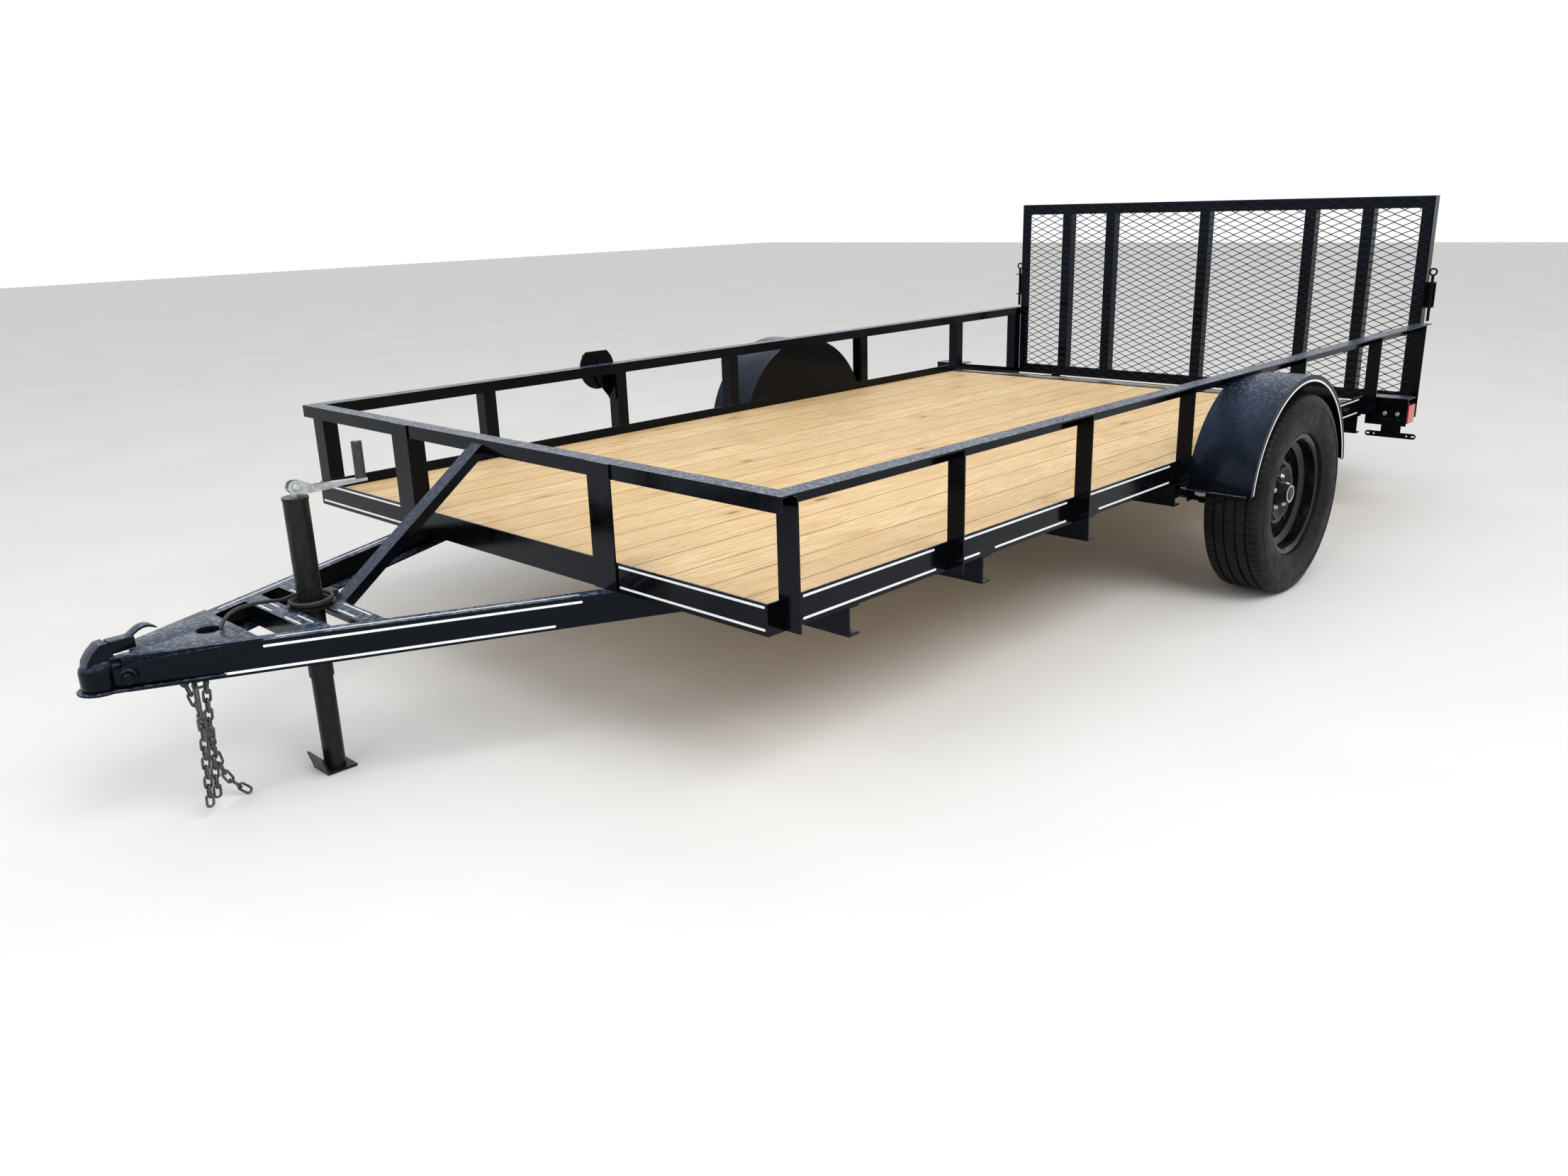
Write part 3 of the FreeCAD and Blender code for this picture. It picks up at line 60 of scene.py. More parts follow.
def box_of(name):
    """A node's least and greatest X, Y and Z, to a hundredth of a millimetre."""
    places = [nodes[name].matrix_world @ vertex.co for vertex in nodes[name].data.vertices]
    low = tuple(round(min(place[axis] for place in places), 5) for axis in range(3))
    high = tuple(round(max(place[axis] for place in places), 5) for axis in range(3))
    return low, high


def named_place(rows, name):
    """The place of the mount or joint with a name."""
    return next(row["pos_m"] for row in rows if row["name"] == name)


front_x = box_of("front_rail")[1][0]
rail_y = box_of("side_rail_left")[1][1]
tongue_top = box_of("tongue_left")[1][2]
# A tyre stands on the ground, so the height of its middle is its radius.
wheel_x, wheel_y, tyre_radius = named_place(frame["record"]["behaviour"]["joints"], "wheel_left_spin")
ball_x = named_place(frame["record"]["mounts"], "ball_socket")[0]
print("front rail", front_x, "side rail", rail_y, "wheel", wheel_x, wheel_y, tyre_radius, "ball", ball_x)

# %% [markdown]
# ## The camera
# The camera stands ahead of the trailer's left front corner, 1.35 m above the ground. Its
# place, its turn and its lens were worked out from the straight rails. A camera looks along
# its own -Z, so the matrix holds its right, its up and the reverse of its view, side by side.

# %% Camera
camera_place = (3.35077, 2.83466, 1.34754)
yaw, pitch, roll = -2.3698, -0.3053, -0.0295
camera_data = bpy.data.cameras.new("camera")
camera_data.lens = 27.995
camera_data.sensor_width = 36.0
camera = bpy.data.objects.new("camera", camera_data)
bpy.context.scene.collection.objects.link(camera)
forward = Vector((math.cos(yaw) * math.cos(pitch), math.sin(yaw) * math.cos(pitch), math.sin(pitch)))
level = forward.cross(Vector((0, 0, 1))).normalized()
upward = level.cross(forward)
right = level * math.cos(roll) + upward * math.sin(roll)
top = upward * math.cos(roll) - level * math.sin(roll)
camera_turn = Matrix((right, top, -forward)).transposed().to_4x4()
camera.matrix_world = Matrix.Translation(camera_place) @ camera_turn
bpy.context.scene.camera = camera
print("camera at", [round(v, 2) for v in camera.location])

# %% [markdown]
# ## The wiring harness
# A thin cable comes out of the coupler's plate, runs back to the jack, is wound about twice
# round its tube and ends in a plug. One smooth spline can do it all: a few points for the
# free stretch, and twelve for each turn.

# %% Points along the cable
jack_x = front_x + 0.549
cable_points = [(front_x + x, y, z) for x, y, z in (
    (0.776, 0.014, 0.4412), (0.770, 0.012, 0.452), (0.759, 0.0085, 0.462), (0.744, 0.0045, 0.4695),
    (0.726, 0.0, 0.4735), (0.704, -0.005, 0.474), (0.678, -0.011, 0.4715), (0.650, -0.0185, 0.467),
    (0.624, -0.0275, 0.461), (0.604, -0.034, 0.4565))]
coil_start, turn_step, coil_steps = -52, 30, 27
coil_reach, coil_height = 0.0545, 0.4566
# After its first steps the coil draws in against the tube and settles lower.
settle_after, settle_steps, draws_in, settles = 4, 13, 0.0068, 0.0095
for k in range(coil_steps):
    angle = math.radians(coil_start - turn_step * k)
    share = min(max((k - settle_after) / settle_steps, 0.0), 1.0)
    reach, height = coil_reach - draws_in * share, coil_height - settles * share
    cable_points.append((jack_x + reach * math.cos(angle), reach * math.sin(angle), height))
cable_points += [(jack_x - 0.034, -0.0420, 0.4462), (jack_x - 0.0482, -0.0385, 0.4455),
                 (jack_x - 0.0590, -0.0360, 0.4450)]
print("cable points", len(cable_points))

# %% [markdown]
# The points become a curve with a round section. The spline's order is set after its points,
# or it stays straight.

# %% Cable
cable_curve = bpy.data.curves.new("harness_cable", "CURVE")
cable_curve.dimensions = "3D"
cable_curve.bevel_depth = 0.0045
cable_curve.bevel_resolution = 4
cable_curve.resolution_u = 6
cable_curve.use_fill_caps = True
spline = cable_curve.splines.new("NURBS")
spline.points.add(len(cable_points) - 1)
for point, place in zip(spline.points, cable_points):
    point.co = (*place, 1.0)
spline.order_u = 3
spline.use_endpoint_u = True
cable = bpy.data.objects.new("harness_cable", cable_curve)
bpy.context.scene.collection.objects.link(cable)
print("cable radius", cable_curve.bevel_depth)

# %% [markdown]
# ## Floor, backdrop and light
# A wide pale floor takes the soft shadow. The world is plain white to the camera and in
# reflections, and a little dimmer as a light, so that colours render about as they are written.

# %% Floor and sky
floor_size, floor_drop = 60, 0.0015
sky_as_light, sky_as_seen = 0.72, 1.0
bpy.ops.object.select_all(action="DESELECT")
bpy.ops.mesh.primitive_plane_add(size=floor_size, location=(0, 0, -floor_drop))
floor = bpy.context.object
floor.name = "floor"
world = bpy.data.worlds.new("studio")
bpy.context.scene.world = world
world.use_nodes = True
tree = world.node_tree
rays = tree.nodes.new("ShaderNodeLightPath")
seen = tree.nodes.new("ShaderNodeMath")
seen.operation = "MAXIMUM"
through = tree.nodes.new("ShaderNodeMath")
through.operation = "MAXIMUM"
tree.links.new(rays.outputs["Is Camera Ray"], seen.inputs[0])
tree.links.new(rays.outputs["Is Glossy Ray"], seen.inputs[1])
tree.links.new(seen.outputs[0], through.inputs[0])
tree.links.new(rays.outputs["Is Transmission Ray"], through.inputs[1])
level_light = tree.nodes.new("ShaderNodeMapRange")
level_light.inputs["To Min"].default_value = sky_as_light
level_light.inputs["To Max"].default_value = sky_as_seen
tree.links.new(through.outputs[0], level_light.inputs["Value"])
tree.links.new(level_light.outputs["Result"], tree.nodes["Background"].inputs["Strength"])
tree.nodes["Background"].inputs["Color"].default_value = (1.0, 1.0, 1.0, 1.0)
bpy.context.scene.view_settings.view_transform = "Standard"
print("floor", floor_size, "m wide")

# %% [markdown]
# One large, soft lamp high on the left gives the shadow its side, and a weaker one ahead of
# the coupler opens up the front.

# %% Lamps


def lamp(name, place, aim, size, power):
    """A square soft lamp that points at a place."""
    data = bpy.data.lights.new(name, "AREA")
    data.size = size
    data.energy = power
    made = bpy.data.objects.new(name, data)
    bpy.context.scene.collection.objects.link(made)
    made.location = place
    made.rotation_euler = (Vector(aim) - Vector(place)).to_track_quat("-Z", "Y").to_euler()


lamp("high_left", (2.0, 6.0, 7.0), (0, 0, 0.4), 5.0, 420)
lamp("high_front", (7.0, 1.0, 4.5), (0, 0, 0.4), 4.0, 130)

# %% [markdown]
# ## Materials
# Each finish is a small graph of nodes. A helper makes an empty one and returns its shader,
# and short functions add noise, a colour ramp or a bump, read from Object coordinates,
# so that a pattern keeps its real size in metres on every piece.

# %% Node helpers


def finish_named(name, color, roughness, metallic=0.0):
    """A new material with its nodes, links, shader and the object's own coordinates."""
    made = bpy.data.materials.new(name)
    made.use_nodes = True
    graph = made.node_tree
    shader = graph.nodes["Principled BSDF"]
    shader.inputs["Base Color"].default_value = (*color, 1.0)
    shader.inputs["Roughness"].default_value = roughness
    shader.inputs["Metallic"].default_value = metallic
    place = graph.nodes.new("ShaderNodeTexCoord").outputs["Object"]
    return made, graph, shader, place


def noise(graph, place, scale, detail=4.0, stretch=(1, 1, 1)):
    """Noise of a scale per metre, stretched by a Mapping node."""
    mapping = graph.nodes.new("ShaderNodeMapping")
    mapping.inputs["Scale"].default_value = stretch
    graph.links.new(place, mapping.inputs["Vector"])
    made = graph.nodes.new("ShaderNodeTexNoise")
    made.inputs["Scale"].default_value = scale
    made.inputs["Detail"].default_value = detail
    graph.links.new(mapping.outputs["Vector"], made.inputs["Vector"])
    return made.outputs["Fac"]


def ramp(graph, value, stops):
    """A colour ramp from (position, colour) stops."""
    made = graph.nodes.new("ShaderNodeValToRGB")
    bar_of_stops = made.color_ramp.elements
    while len(bar_of_stops) < len(stops):
        bar_of_stops.new(0.5)
    for stop, (position, color) in zip(bar_of_stops, stops):
        stop.position = position
        stop.color = (*color, 1.0)
    graph.links.new(value, made.inputs["Fac"])
    return made.outputs["Color"]


def span(graph, value, low, high, out_low, out_high):
    """Maps a range of values onto another."""
    made = graph.nodes.new("ShaderNodeMapRange")
    for key, number in (("From Min", low), ("From Max", high), ("To Min", out_low), ("To Max", out_high)):
        made.inputs[key].default_value = number
    graph.links.new(value, made.inputs["Value"])
    return made.outputs["Result"]


print("node helpers ready")

# %% [markdown]
# A mask often needs a little arithmetic, and a colour a mix of two. A bump or the direction
# of the surface takes a few nodes more, so each of these has its own short function too.

# %% Helpers for masks and bumps


def calc(graph, operation, first, second=0.0):
    """One step of arithmetic on values or plain numbers."""
    made = graph.nodes.new("ShaderNodeMath")
    made.operation = operation
    for socket, value in zip(made.inputs, (first, second)):
        if isinstance(value, (int, float)):
            socket.default_value = value
        else:
            graph.links.new(value, socket)
    return made.outputs[0]


def blend_colors(graph, share, first, second):
    """Mixes two colours by a share."""
    made = graph.nodes.new("ShaderNodeMix")
    made.data_type = "RGBA"
    for socket, value in ((made.inputs[0], share), (made.inputs[6], first), (made.inputs[7], second)):
        if isinstance(value, tuple):
            socket.default_value = (*value, 1.0)
        elif isinstance(value, (int, float)):
            socket.default_value = value
        else:
            graph.links.new(value, socket)
    return made.outputs[2]


def raise_by(graph, shader, height, distance, strength=1.0):
    """A bump of a height map, in metres."""
    made = graph.nodes.new("ShaderNodeBump")
    made.inputs["Distance"].default_value = distance
    made.inputs["Strength"].default_value = strength
    graph.links.new(height, made.inputs["Height"])
    graph.links.new(made.outputs["Normal"], shader.inputs["Normal"])


def facing_up(graph):
    """How far a surface faces up, from 0 to 1."""
    geometry = graph.nodes.new("ShaderNodeNewGeometry")
    split = graph.nodes.new("ShaderNodeSeparateXYZ")
    graph.links.new(geometry.outputs["Normal"], split.inputs["Vector"])
    return calc(graph, "MAXIMUM", split.outputs["Z"], 0.0)


print("mask helpers ready")

# %% [markdown]
# Most finishes want the same three things: a colour that wanders between a few tones, a
# roughness that varies, and a fine bump. Three short functions give each of them from noise.

# %% Helpers for a worn finish


def mottle(graph, shader, place, scale, detail, *stops):
    """Lets noise pick the base colour from a ramp."""
    graph.links.new(ramp(graph, noise(graph, place, scale, detail), stops), shader.inputs["Base Color"])


def scuff(graph, shader, place, scale, detail, smooth, rough):
    """Lets noise carry the roughness from smooth to rough."""
    graph.links.new(span(graph, noise(graph, place, scale, detail), 0.3, 0.7, smooth, rough),
                    shader.inputs["Roughness"])


def grit(graph, shader, place, scale, detail, distance, strength):
    """A bump of fine noise."""
    raise_by(graph, shader, noise(graph, place, scale, detail), distance, strength)


print("finish helpers ready")

# %% [markdown]
# ## Black paint in the rain
# The steel is gloss black and wet. On flat tops the sky's reflection in the rain is painted into
# the colour as a bluish sheen, broken up by darker beads and lit by painted glints between them,
# while upright faces stay almost black. A mask from the surface's own normal keeps the painted
# reflection, the glints and the beads on the tops, and a bump lifts the beads.

# %% Gloss black paint
upright_black, bead_black = (0.0016, 0.0018, 0.0025), (0.002, 0.002, 0.003)
# A bluish painted reflection of the sky for the wet tops, and a lighter colour for painted glints.
painted_sky_reflection, painted_glint_color = (0.034, 0.050, 0.088), (0.15, 0.19, 0.26)
black_paint, graph, shader, place = finish_named("black_paint", (0.0035, 0.004, 0.0055), 0.16)
tilt = facing_up(graph)
up, flat = calc(graph, "POWER", tilt, 1.7), calc(graph, "POWER", tilt, 9.0)
beads = graph.nodes.new("ShaderNodeTexVoronoi")
beads.inputs["Scale"].default_value = 85.0
graph.links.new(place, beads.inputs["Vector"])
bead_shape = span(graph, beads.outputs["Distance"], 0.16, 0.34, 1.0, 0.0)
patches = span(graph, noise(graph, place, 60.0, 2.0), 0.42, 0.52, 0.0, 1.0)
bead_mask = calc(graph, "MULTIPLY", calc(graph, "MULTIPLY", bead_shape, patches), up)
# The sky's reflection is painted onto the tops, a little uneven, over the plain black, and the beads break it
# up.
painted_reflection_share = span(graph, noise(graph, place, 7.0, 3.0), 0.35, 0.65, 0.62, 1.0)
painted_sky_tops = blend_colors(graph, calc(graph, "MULTIPLY", up, painted_reflection_share), upright_black, painted_sky_reflection)
beaded_painted_sky = blend_colors(graph, bead_mask, painted_sky_tops, bead_black)
# Painted glints of light on flat tops, in the gaps between the beads.
between_beads = span(graph, beads.outputs["Distance"], 0.46, 0.62, 0.0, 0.8)
painted_glints = calc(graph, "MULTIPLY", calc(graph, "MULTIPLY", between_beads, patches), flat)
graph.links.new(blend_colors(graph, painted_glints, beaded_painted_sky, painted_glint_color), shader.inputs["Base Color"])
print("paint colour done")

# %% [markdown]
# The paint mirrors an overcast sky, so the shine is kept low and tinted blue. Wet
# tops are a little rougher, and a slight orange peel lies under the beads.

# %% Shine of the black paint
shader.inputs["Specular IOR Level"].default_value = 0.16
shader.inputs["Specular Tint"].default_value = (0.62, 0.76, 1.0, 1.0)
sprayed = span(graph, noise(graph, place, 40.0, 3.0), 0.3, 0.7, 0.10, 0.20)
graph.links.new(calc(graph, "ADD", sprayed, calc(graph, "MULTIPLY", up, 0.12)), shader.inputs["Roughness"])
orange_peel = calc(graph, "MULTIPLY", noise(graph, place, 160.0, 2.0), 0.05)
raise_by(graph, shader, calc(graph, "ADD", orange_peel, bead_mask), 0.0016, 0.7)
print("black paint done")

# %% [markdown]
# ## Metals
# The jack has a duller black than the rails, and the rims a smooth one with no rain and no painted sky
# reflection.
# The crank, the nuts and the latch slider are zinc plated, with light and dark cloudy spots,
# and the chain is darker steel. Each differs only in its tones, its shine and its grain.

# %% Black of the jack, the rims and the hubs
jack_black, graph, shader, place = finish_named("jack_black", (0.008, 0.008, 0.009), 0.3)
mottle(graph, shader, place, 60.0, 5.0, (0.35, (0.004, 0.004, 0.005)), (0.7, (0.010, 0.011, 0.013)))
scuff(graph, shader, place, 18.0, 4.0, 0.22, 0.42)
shader.inputs["Specular IOR Level"].default_value = 0.2
grit(graph, shader, place, 220.0, 2.0, 0.0003, 0.5)

rim_black, graph, shader, place = finish_named("rim_black", (0.003, 0.003, 0.0036), 0.12)
mottle(graph, shader, place, 24.0, 4.0, (0.35, (0.0025, 0.0027, 0.0034)), (0.7, (0.006, 0.0065, 0.008)))
scuff(graph, shader, place, 60.0, 3.0, 0.08, 0.20)
shader.inputs["Specular IOR Level"].default_value = 0.34
grit(graph, shader, place, 160.0, 2.0, 0.0003, 0.4)

hub_metal, graph, shader, place = finish_named("hub_metal", (0.012, 0.012, 0.013), 0.3)
mottle(graph, shader, place, 70.0, 5.0, (0.3, (0.007, 0.007, 0.008)), (0.75, (0.022, 0.022, 0.024)))
grit(graph, shader, place, 200.0, 3.0, 0.0003, 0.4)
print("black metals done")

# %% [markdown]
# Bare metal gets its colour from the Metallic setting, which tints the mirrored light. Three
# tones instead of two give plated zinc its cloudy look and worn chain its brighter spots.

# %% Zinc and chain steel
zinc, graph, shader, place = finish_named("zinc", (0.56, 0.58, 0.60), 0.34, 1.0)
mottle(graph, shader, place, 55.0, 6.0,
       (0.3, (0.36, 0.38, 0.41)), (0.55, (0.58, 0.60, 0.62)), (0.8, (0.70, 0.71, 0.70)))
scuff(graph, shader, place, 90.0, 4.0, 0.25, 0.5)
grit(graph, shader, place, 240.0, 3.0, 0.0002, 0.4)

chain_steel, graph, shader, place = finish_named("chain_steel", (0.10, 0.10, 0.105), 0.42, 0.8)
mottle(graph, shader, place, 120.0, 6.0,
       (0.3, (0.035, 0.036, 0.04)), (0.6, (0.11, 0.115, 0.12)), (0.82, (0.24, 0.24, 0.24)))
scuff(graph, shader, place, 80.0, 4.0, 0.3, 0.6)
grit(graph, shader, place, 300.0, 3.0, 0.0002, 0.5)
print("bare metals done")

# %% [markdown]
# ## Bare pine planks
# Fifteen planks lie side by side, each a little different in tone. The plank's number comes
# from its place across the deck, and white noise turns that number into a tone. Long streaks
# of noise and thin arcs give the grain.

# %% Pine grain
plank_pitch, plank_edge = 0.13776, -1.0332
plank_shift = 7.0
pine, graph, shader, place = finish_named("pine", (0.70, 0.50, 0.28), 0.6)
split = graph.nodes.new("ShaderNodeSeparateXYZ")
graph.links.new(place, split.inputs["Vector"])
from_edge = calc(graph, "SUBTRACT", split.outputs["Y"], plank_edge)
planks_across = calc(graph, "DIVIDE", from_edge, plank_pitch)
tone = graph.nodes.new("ShaderNodeTexWhiteNoise")
tone.noise_dimensions = "1D"
graph.links.new(calc(graph, "FLOOR", planks_across), tone.inputs["W"])
# Each plank reads its pattern from another place along the deck.
moved = graph.nodes.new("ShaderNodeCombineXYZ")
shift = calc(graph, "MULTIPLY", tone.outputs["Value"], plank_shift)
graph.links.new(calc(graph, "ADD", split.outputs["X"], shift), moved.inputs["X"])
graph.links.new(split.outputs["Y"], moved.inputs["Y"])
graph.links.new(split.outputs["Z"], moved.inputs["Z"])
own = moved.outputs["Vector"]
wander = noise(graph, own, 2.2, 3.0, (1.0, 5.0, 1.0))
streaks = noise(graph, own, 9.0, 8.0, (0.35, 22.0, 10.0))
fine = noise(graph, own, 60.0, 6.0, (0.25, 9.0, 9.0))
arcs = calc(graph, "SINE", calc(graph, "ADD", calc(graph, "MULTIPLY", split.outputs["Y"], 230.0),
                                calc(graph, "MULTIPLY", wander, 62.0)))
grain = calc(graph, "ADD", calc(graph, "MULTIPLY", arcs, 0.035),
             calc(graph, "ADD", calc(graph, "MULTIPLY", streaks, 0.62), calc(graph, "MULTIPLY", fine, 0.38)))
wood = ramp(graph, grain, ((0.37, (0.50, 0.28, 0.10)), (0.455, (0.76, 0.51, 0.24)),
                           (0.54, (0.86, 0.64, 0.35)), (0.66, (0.91, 0.74, 0.47))))
toned = blend_colors(graph, span(graph, tone.outputs["Value"], 0.0, 1.0, 0.0, 0.42), wood, (0.66, 0.42, 0.18))
print("pine grain done")

# %% [markdown]
# Knots are the middles of stretched cells, each with a darker halo. A dark line marks each
# seam between planks, and rain has left damp patches.

# %% Knots, seams and damp
knot_map = graph.nodes.new("ShaderNodeMapping")
knot_map.inputs["Scale"].default_value = (2.6, 7.3, 0.0)
graph.links.new(own, knot_map.inputs["Vector"])
knot_cells = graph.nodes.new("ShaderNodeTexVoronoi")
knot_cells.inputs["Scale"].default_value = 1.0
graph.links.new(knot_map.outputs["Vector"], knot_cells.inputs["Vector"])
knot = span(graph, knot_cells.outputs["Distance"], 0.05, 0.10, 0.85, 0.0)
halo = span(graph, knot_cells.outputs["Distance"], 0.07, 0.30, 0.6, 0.0)
shaded = blend_colors(graph, halo, toned, (0.58, 0.34, 0.13))
knotted = blend_colors(graph, knot, shaded, (0.24, 0.115, 0.045))
across_share = calc(graph, "FRACT", planks_across)
to_seam = calc(graph, "MINIMUM", across_share, calc(graph, "SUBTRACT", 1.0, across_share))
seam = span(graph, calc(graph, "MULTIPLY", to_seam, plank_pitch), 0.0010, 0.0036, 0.85, 0.0)
seamed = blend_colors(graph, seam, knotted, (0.13, 0.07, 0.03))
damp = span(graph, noise(graph, place, 3.5, 4.0), 0.45, 0.68, 0.0, 0.35)
graph.links.new(blend_colors(graph, damp, seamed, (0.62, 0.42, 0.20)), shader.inputs["Base Color"])
graph.links.new(span(graph, grain, 0.3, 0.7, 0.42, 0.66), shader.inputs["Roughness"])
raise_by(graph, shader, calc(graph, "SUBTRACT", grain, calc(graph, "MULTIPLY", knot, 0.4)), 0.0012, 0.6)
print("pine done")

# %% [markdown]
# ## Rubber, plastic, lens and stripe paint
# The tyres are a dull black that hardly shines. The cable and the caps' plugs are softer
# rubber, and the licence light is plastic with a fine grain.

# %% Rubber and plastic
tyre_rubber, graph, shader, place = finish_named("tyre", (0.018, 0.018, 0.019), 0.7)
mottle(graph, shader, place, 14.0, 6.0, (0.35, (0.0036, 0.0037, 0.0044)), (0.75, (0.0100, 0.0102, 0.0114)))
shader.inputs["Specular IOR Level"].default_value = 0.14
scuff(graph, shader, place, 30.0, 4.0, 0.42, 0.62)
grit(graph, shader, place, 260.0, 3.0, 0.0004, 0.5)

soft_rubber, graph, shader, place = finish_named("black_rubber", (0.016, 0.016, 0.017), 0.5)
mottle(graph, shader, place, 90.0, 4.0, (0.3, (0.011, 0.011, 0.012)), (0.75, (0.028, 0.028, 0.030)))
grit(graph, shader, place, 400.0, 2.0, 0.0002, 0.5)

black_plastic, graph, shader, place = finish_named("black_plastic", (0.014, 0.014, 0.015), 0.45)
scuff(graph, shader, place, 150.0, 3.0, 0.35, 0.55)
grit(graph, shader, place, 500.0, 2.0, 0.0002, 0.5)
print("rubber and plastic done")

# %% [markdown]
# The lamps' red lenses are ribbed inside and smooth outside. A wave along Z gives the ribs,
# both as a tone and as a bump, and a clear coat gives the smooth face over them.

# %% Red lens
red_lens, graph, shader, place = finish_named("red_lens", (0.50, 0.012, 0.012), 0.14)
ribs = graph.nodes.new("ShaderNodeTexWave")
ribs.bands_direction = "Z"
ribs.inputs["Scale"].default_value = 38.0
graph.links.new(place, ribs.inputs["Vector"])
rib_color = ramp(graph, ribs.outputs["Fac"], ((0.2, (0.34, 0.006, 0.006)), (0.8, (0.62, 0.02, 0.016))))
graph.links.new(rib_color, shader.inputs["Base Color"])
shader.inputs["Coat Weight"].default_value = 0.6
raise_by(graph, shader, ribs.outputs["Fac"], 0.0006, 0.6)
print("lens done")

# %% [markdown]
# The stripes are white paint, a little uneven, and the floor is a matt grey that is nearly white.

# %% Stripe and floor paint
stripe_paint, graph, shader, place = finish_named("stripe_paint", (0.80, 0.81, 0.82), 0.35)
mottle(graph, shader, place, 35.0, 5.0, (0.3, (0.70, 0.71, 0.73)), (0.7, (0.86, 0.87, 0.88)))
grit(graph, shader, place, 300.0, 2.0, 0.0001, 0.4)

floor_paint, graph, shader, place = finish_named("floor_paint", (0.80, 0.80, 0.79), 0.85)
mottle(graph, shader, place, 1.5, 4.0, (0.3, (0.78, 0.78, 0.77)), (0.7, (0.82, 0.82, 0.81)))
floor.data.materials.append(floor_paint)
print("materials", len(bpy.data.materials))

# %% [markdown]
# ## Paint on the frame
# The record names a finish for each node, so one loop dresses them all. The rims are listed
# as black paint too, but under the fenders they keep no rain or painted sky, and take their own black.

# %% Give each node its finish
finishes = {"black_paint": black_paint, "jack_black": jack_black, "zinc": zinc, "chain_steel": chain_steel,
            "pine": pine, "tyre": tyre_rubber, "hub_metal": hub_metal, "red_lens": red_lens,
            "black_plastic": black_plastic, "black_rubber": soft_rubber}
for entry in frame["record"]["subparts"]:
    node = nodes[entry["node"]]
    finish = rim_black if entry["node"].startswith("rim_") else finishes[entry["material_slot"]]
    if not node.material_slots:
        node.data.materials.append(finish)
    for material_slot in node.material_slots:
        material_slot.material = finish

# %% [markdown]
# The cable is rubber. It rides on the chassis and stands in for the stiff cable and coil of the
# frame.

# %% Cable finish
cable_curve.materials.append(soft_rubber)
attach(cable, "chassis")
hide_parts("wiring_harness", "harness_coil")
print("cable dressed")

# %% [markdown]
# ## Helpers for modelling
# Each piece starts as a primitive and is shaped in edit mode. An operator acts on what is
# selected, so `pick` selects faces, edges or corners by their place and direction first.

# %% Selecting


def pick(piece, kind, wanted):
    """Selects what passes a test of its middle and direction, and stays in edit mode."""
    mesh = piece.data
    bpy.ops.object.mode_set(mode="EDIT")
    bpy.ops.mesh.select_mode(type=kind)
    bpy.ops.mesh.select_all(action="DESELECT")
    bpy.ops.object.mode_set(mode="OBJECT")
    if kind == "FACE":
        for face in mesh.polygons:
            face.select = wanted(face.center, face.normal)
    elif kind == "EDGE":
        for edge in mesh.edges:
            first, second = (mesh.vertices[i].co for i in edge.vertices)
            edge.select = wanted((first + second) / 2, (second - first).normalized())
    else:
        for vertex in mesh.vertices:
            vertex.select = wanted(vertex.co, vertex.normal)
    bpy.ops.object.mode_set(mode="EDIT")


def pick_side(piece, side):
    """Selects the faces that look along an axis, such as +Z or -X."""
    axis = "XYZ".index(side[1])
    sign = 1 if side[0] == "+" else -1
    pick(piece, "FACE", lambda middle, normal: normal[axis] * sign > 0.9)


def alone():
    """Leaves edit mode and selects nothing."""
    if bpy.context.object and bpy.context.object.mode != "OBJECT":
        bpy.ops.object.mode_set(mode="OBJECT")
    bpy.ops.object.select_all(action="DESELECT")


print("selection helpers ready")

# %% [markdown]
# A box or a cylinder is added at the origin, drawn out or inset step by step, and softened
# with a bevel, because no edge of pressed steel or rubber is quite sharp.

# %% Shaping


def start_cube(size):
    """A box of three lengths, at the origin, in edit mode."""
    alone()
    bpy.ops.mesh.primitive_cube_add(size=1.0)
    bpy.ops.object.mode_set(mode="EDIT")
    bpy.ops.transform.resize(value=size)
    return bpy.context.object


def start_round(radius, depth, sides):
    """A cylinder along Z, at the origin, in edit mode."""
    alone()
    bpy.ops.mesh.primitive_cylinder_add(vertices=sides, radius=radius, depth=depth)
    bpy.ops.object.mode_set(mode="EDIT")
    return bpy.context.object


def draw_out(move):
    """Extrudes what is selected and moves it."""
    bpy.ops.mesh.extrude_region_move(TRANSFORM_OT_translate={"value": move})


def inset_steps(*steps):
    """Insets what is selected again and again, each time by a thickness and a depth."""
    for thickness, depth in steps:
        bpy.ops.mesh.inset(thickness=thickness, depth=depth)


def apply_modifier(piece, kind, **settings):
    """Adds a modifier, sets it and applies it."""
    bpy.ops.object.mode_set(mode="OBJECT")
    bpy.context.view_layer.objects.active = piece
    made = piece.modifiers.new(kind.lower(), kind)
    for key, value in settings.items():
        setattr(made, key, value)
    bpy.ops.object.modifier_apply(modifier=made.name)


def soften(piece, width, segments=2, angle=40):
    """Rounds all edges sharper than an angle."""
    apply_modifier(piece, "BEVEL", width=width, segments=segments, limit_method="ANGLE",
                   angle_limit=math.radians(angle), use_clamp_overlap=True)


print("shaping helpers ready")

# %% [markdown]
# What repeats is modelled once, copied with its mesh, moved, and joined into one piece. A
# piece keeps its object at the origin and its place in its mesh, then rides on a body.

# %% Placing and finishing


def copy_at(model, matrix):
    """A copy with its own mesh, moved by a matrix."""
    made = model.copy()
    made.data = model.data.copy()
    made.data.transform(matrix)
    bpy.context.scene.collection.objects.link(made)
    return made


def facing(place, along, outward):
    """A matrix that takes X to a direction, Z to another, and the origin to a place."""
    along, outward = Vector(along).normalized(), Vector(outward).normalized()
    across = outward.cross(along).normalized()
    along = across.cross(outward)
    return Matrix.Translation(place) @ Matrix((along, across, outward)).transposed().to_4x4()


def drop(*models):
    """Removes models that have been copied."""
    for model in models:
        bpy.data.objects.remove(model)


